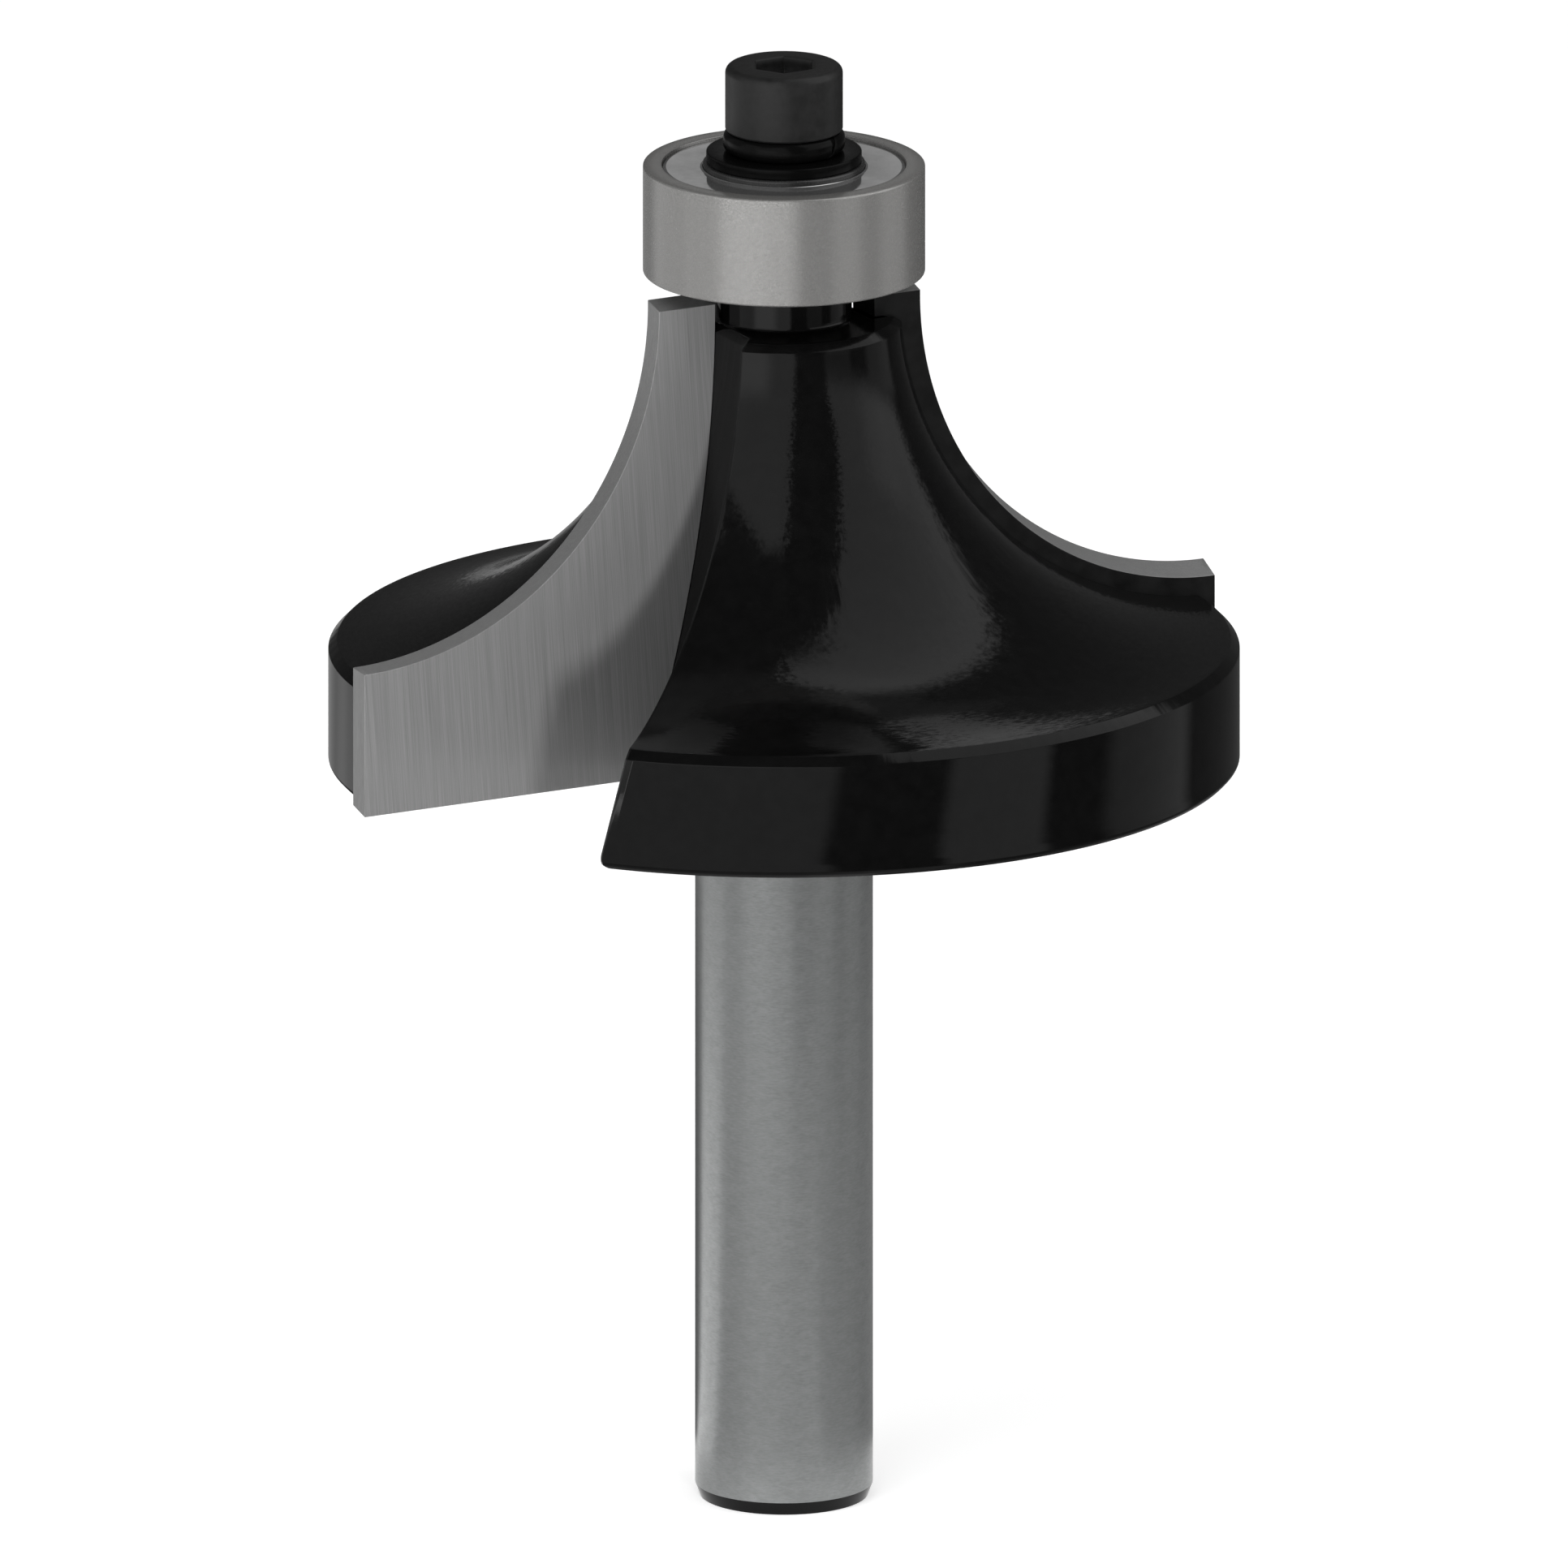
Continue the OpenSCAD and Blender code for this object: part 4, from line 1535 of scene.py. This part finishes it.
# %% The tent's shape
DOME_R, DOME_LOW, DOME_TOP_R = 0.42, 0.002, 0.0005
FLOOR_IN_R, FLOOR_OUT_R, FLOOR_UP = 0.009, 0.4, 0.0006
DOME_STEPS = 24


def make_tent():
    """A ring of floor and a dome, in metres, seen by reflections only."""
    points = [Vector((FLOOR_IN_R, FLOOR_UP)), Vector((FLOOR_OUT_R, FLOOR_UP))]
    for k in range(DOME_STEPS + 1):
        a = math.pi / 2 * k / DOME_STEPS
        points.append(Vector((DOME_R * math.cos(a), DOME_LOW + DOME_R * math.sin(a))))
    points[-1].x = DOME_TOP_R
    bm = bmesh.new()
    spin_profile(bm, points, steps=96)
    mesh = bpy.data.meshes.new("light_tent")
    bm.to_mesh(mesh)
    bm.free()
    mesh.materials.append(tent_finish)
    tent = bpy.data.objects.new("light_tent", mesh)
    bpy.context.scene.collection.objects.link(tent)
    tent.visible_camera = False
    tent.visible_diffuse = False
    tent.visible_shadow = False
    tent.visible_transmission = False
    return tent


print("tent faces", len(make_tent().data.polygons))

# %% [markdown]
# Lamps
# The tent gives the reflections, and three soft lamps give the light on matt surfaces: a
# key from the left front, a fill from the right and a small low one in front for the
# shank. They are hidden from reflections, because the panels already stand there.

# %% Lamps
def lamp(name, azimuth, elevation, distance, size, power):
    """A soft lamp aimed at the bit's middle; azimuth counts right of the camera."""
    data = bpy.data.lights.new(name, "AREA")
    data.shape = "RECTANGLE"
    data.size, data.size_y = size
    data.energy = power
    piece = bpy.data.objects.new(name, data)
    bpy.context.scene.collection.objects.link(piece)
    a = -math.pi / 2 + VIEW_AZIMUTH + math.radians(azimuth)
    e = math.radians(elevation)
    way = Vector((math.cos(a) * math.cos(e), math.sin(a) * math.cos(e), math.sin(e)))
    piece.location = way * distance + Vector((0, 0, MIDDLE_Z))
    piece.rotation_euler = (-way).to_track_quat("-Z", "Y").to_euler()
    piece.visible_glossy = False
    piece.visible_camera = False
    print(name, "gives", power, "W from", distance, "m")
    return piece


lamp("key_left", -30, 50, 0.35, (0.24, 0.2), 0.6)
lamp("fill_right", 85, 45, 0.35, (0.2, 0.24), 0.33)
lamp("low_front", 12, 2, 0.42, (0.037, 0.05), 0.95)
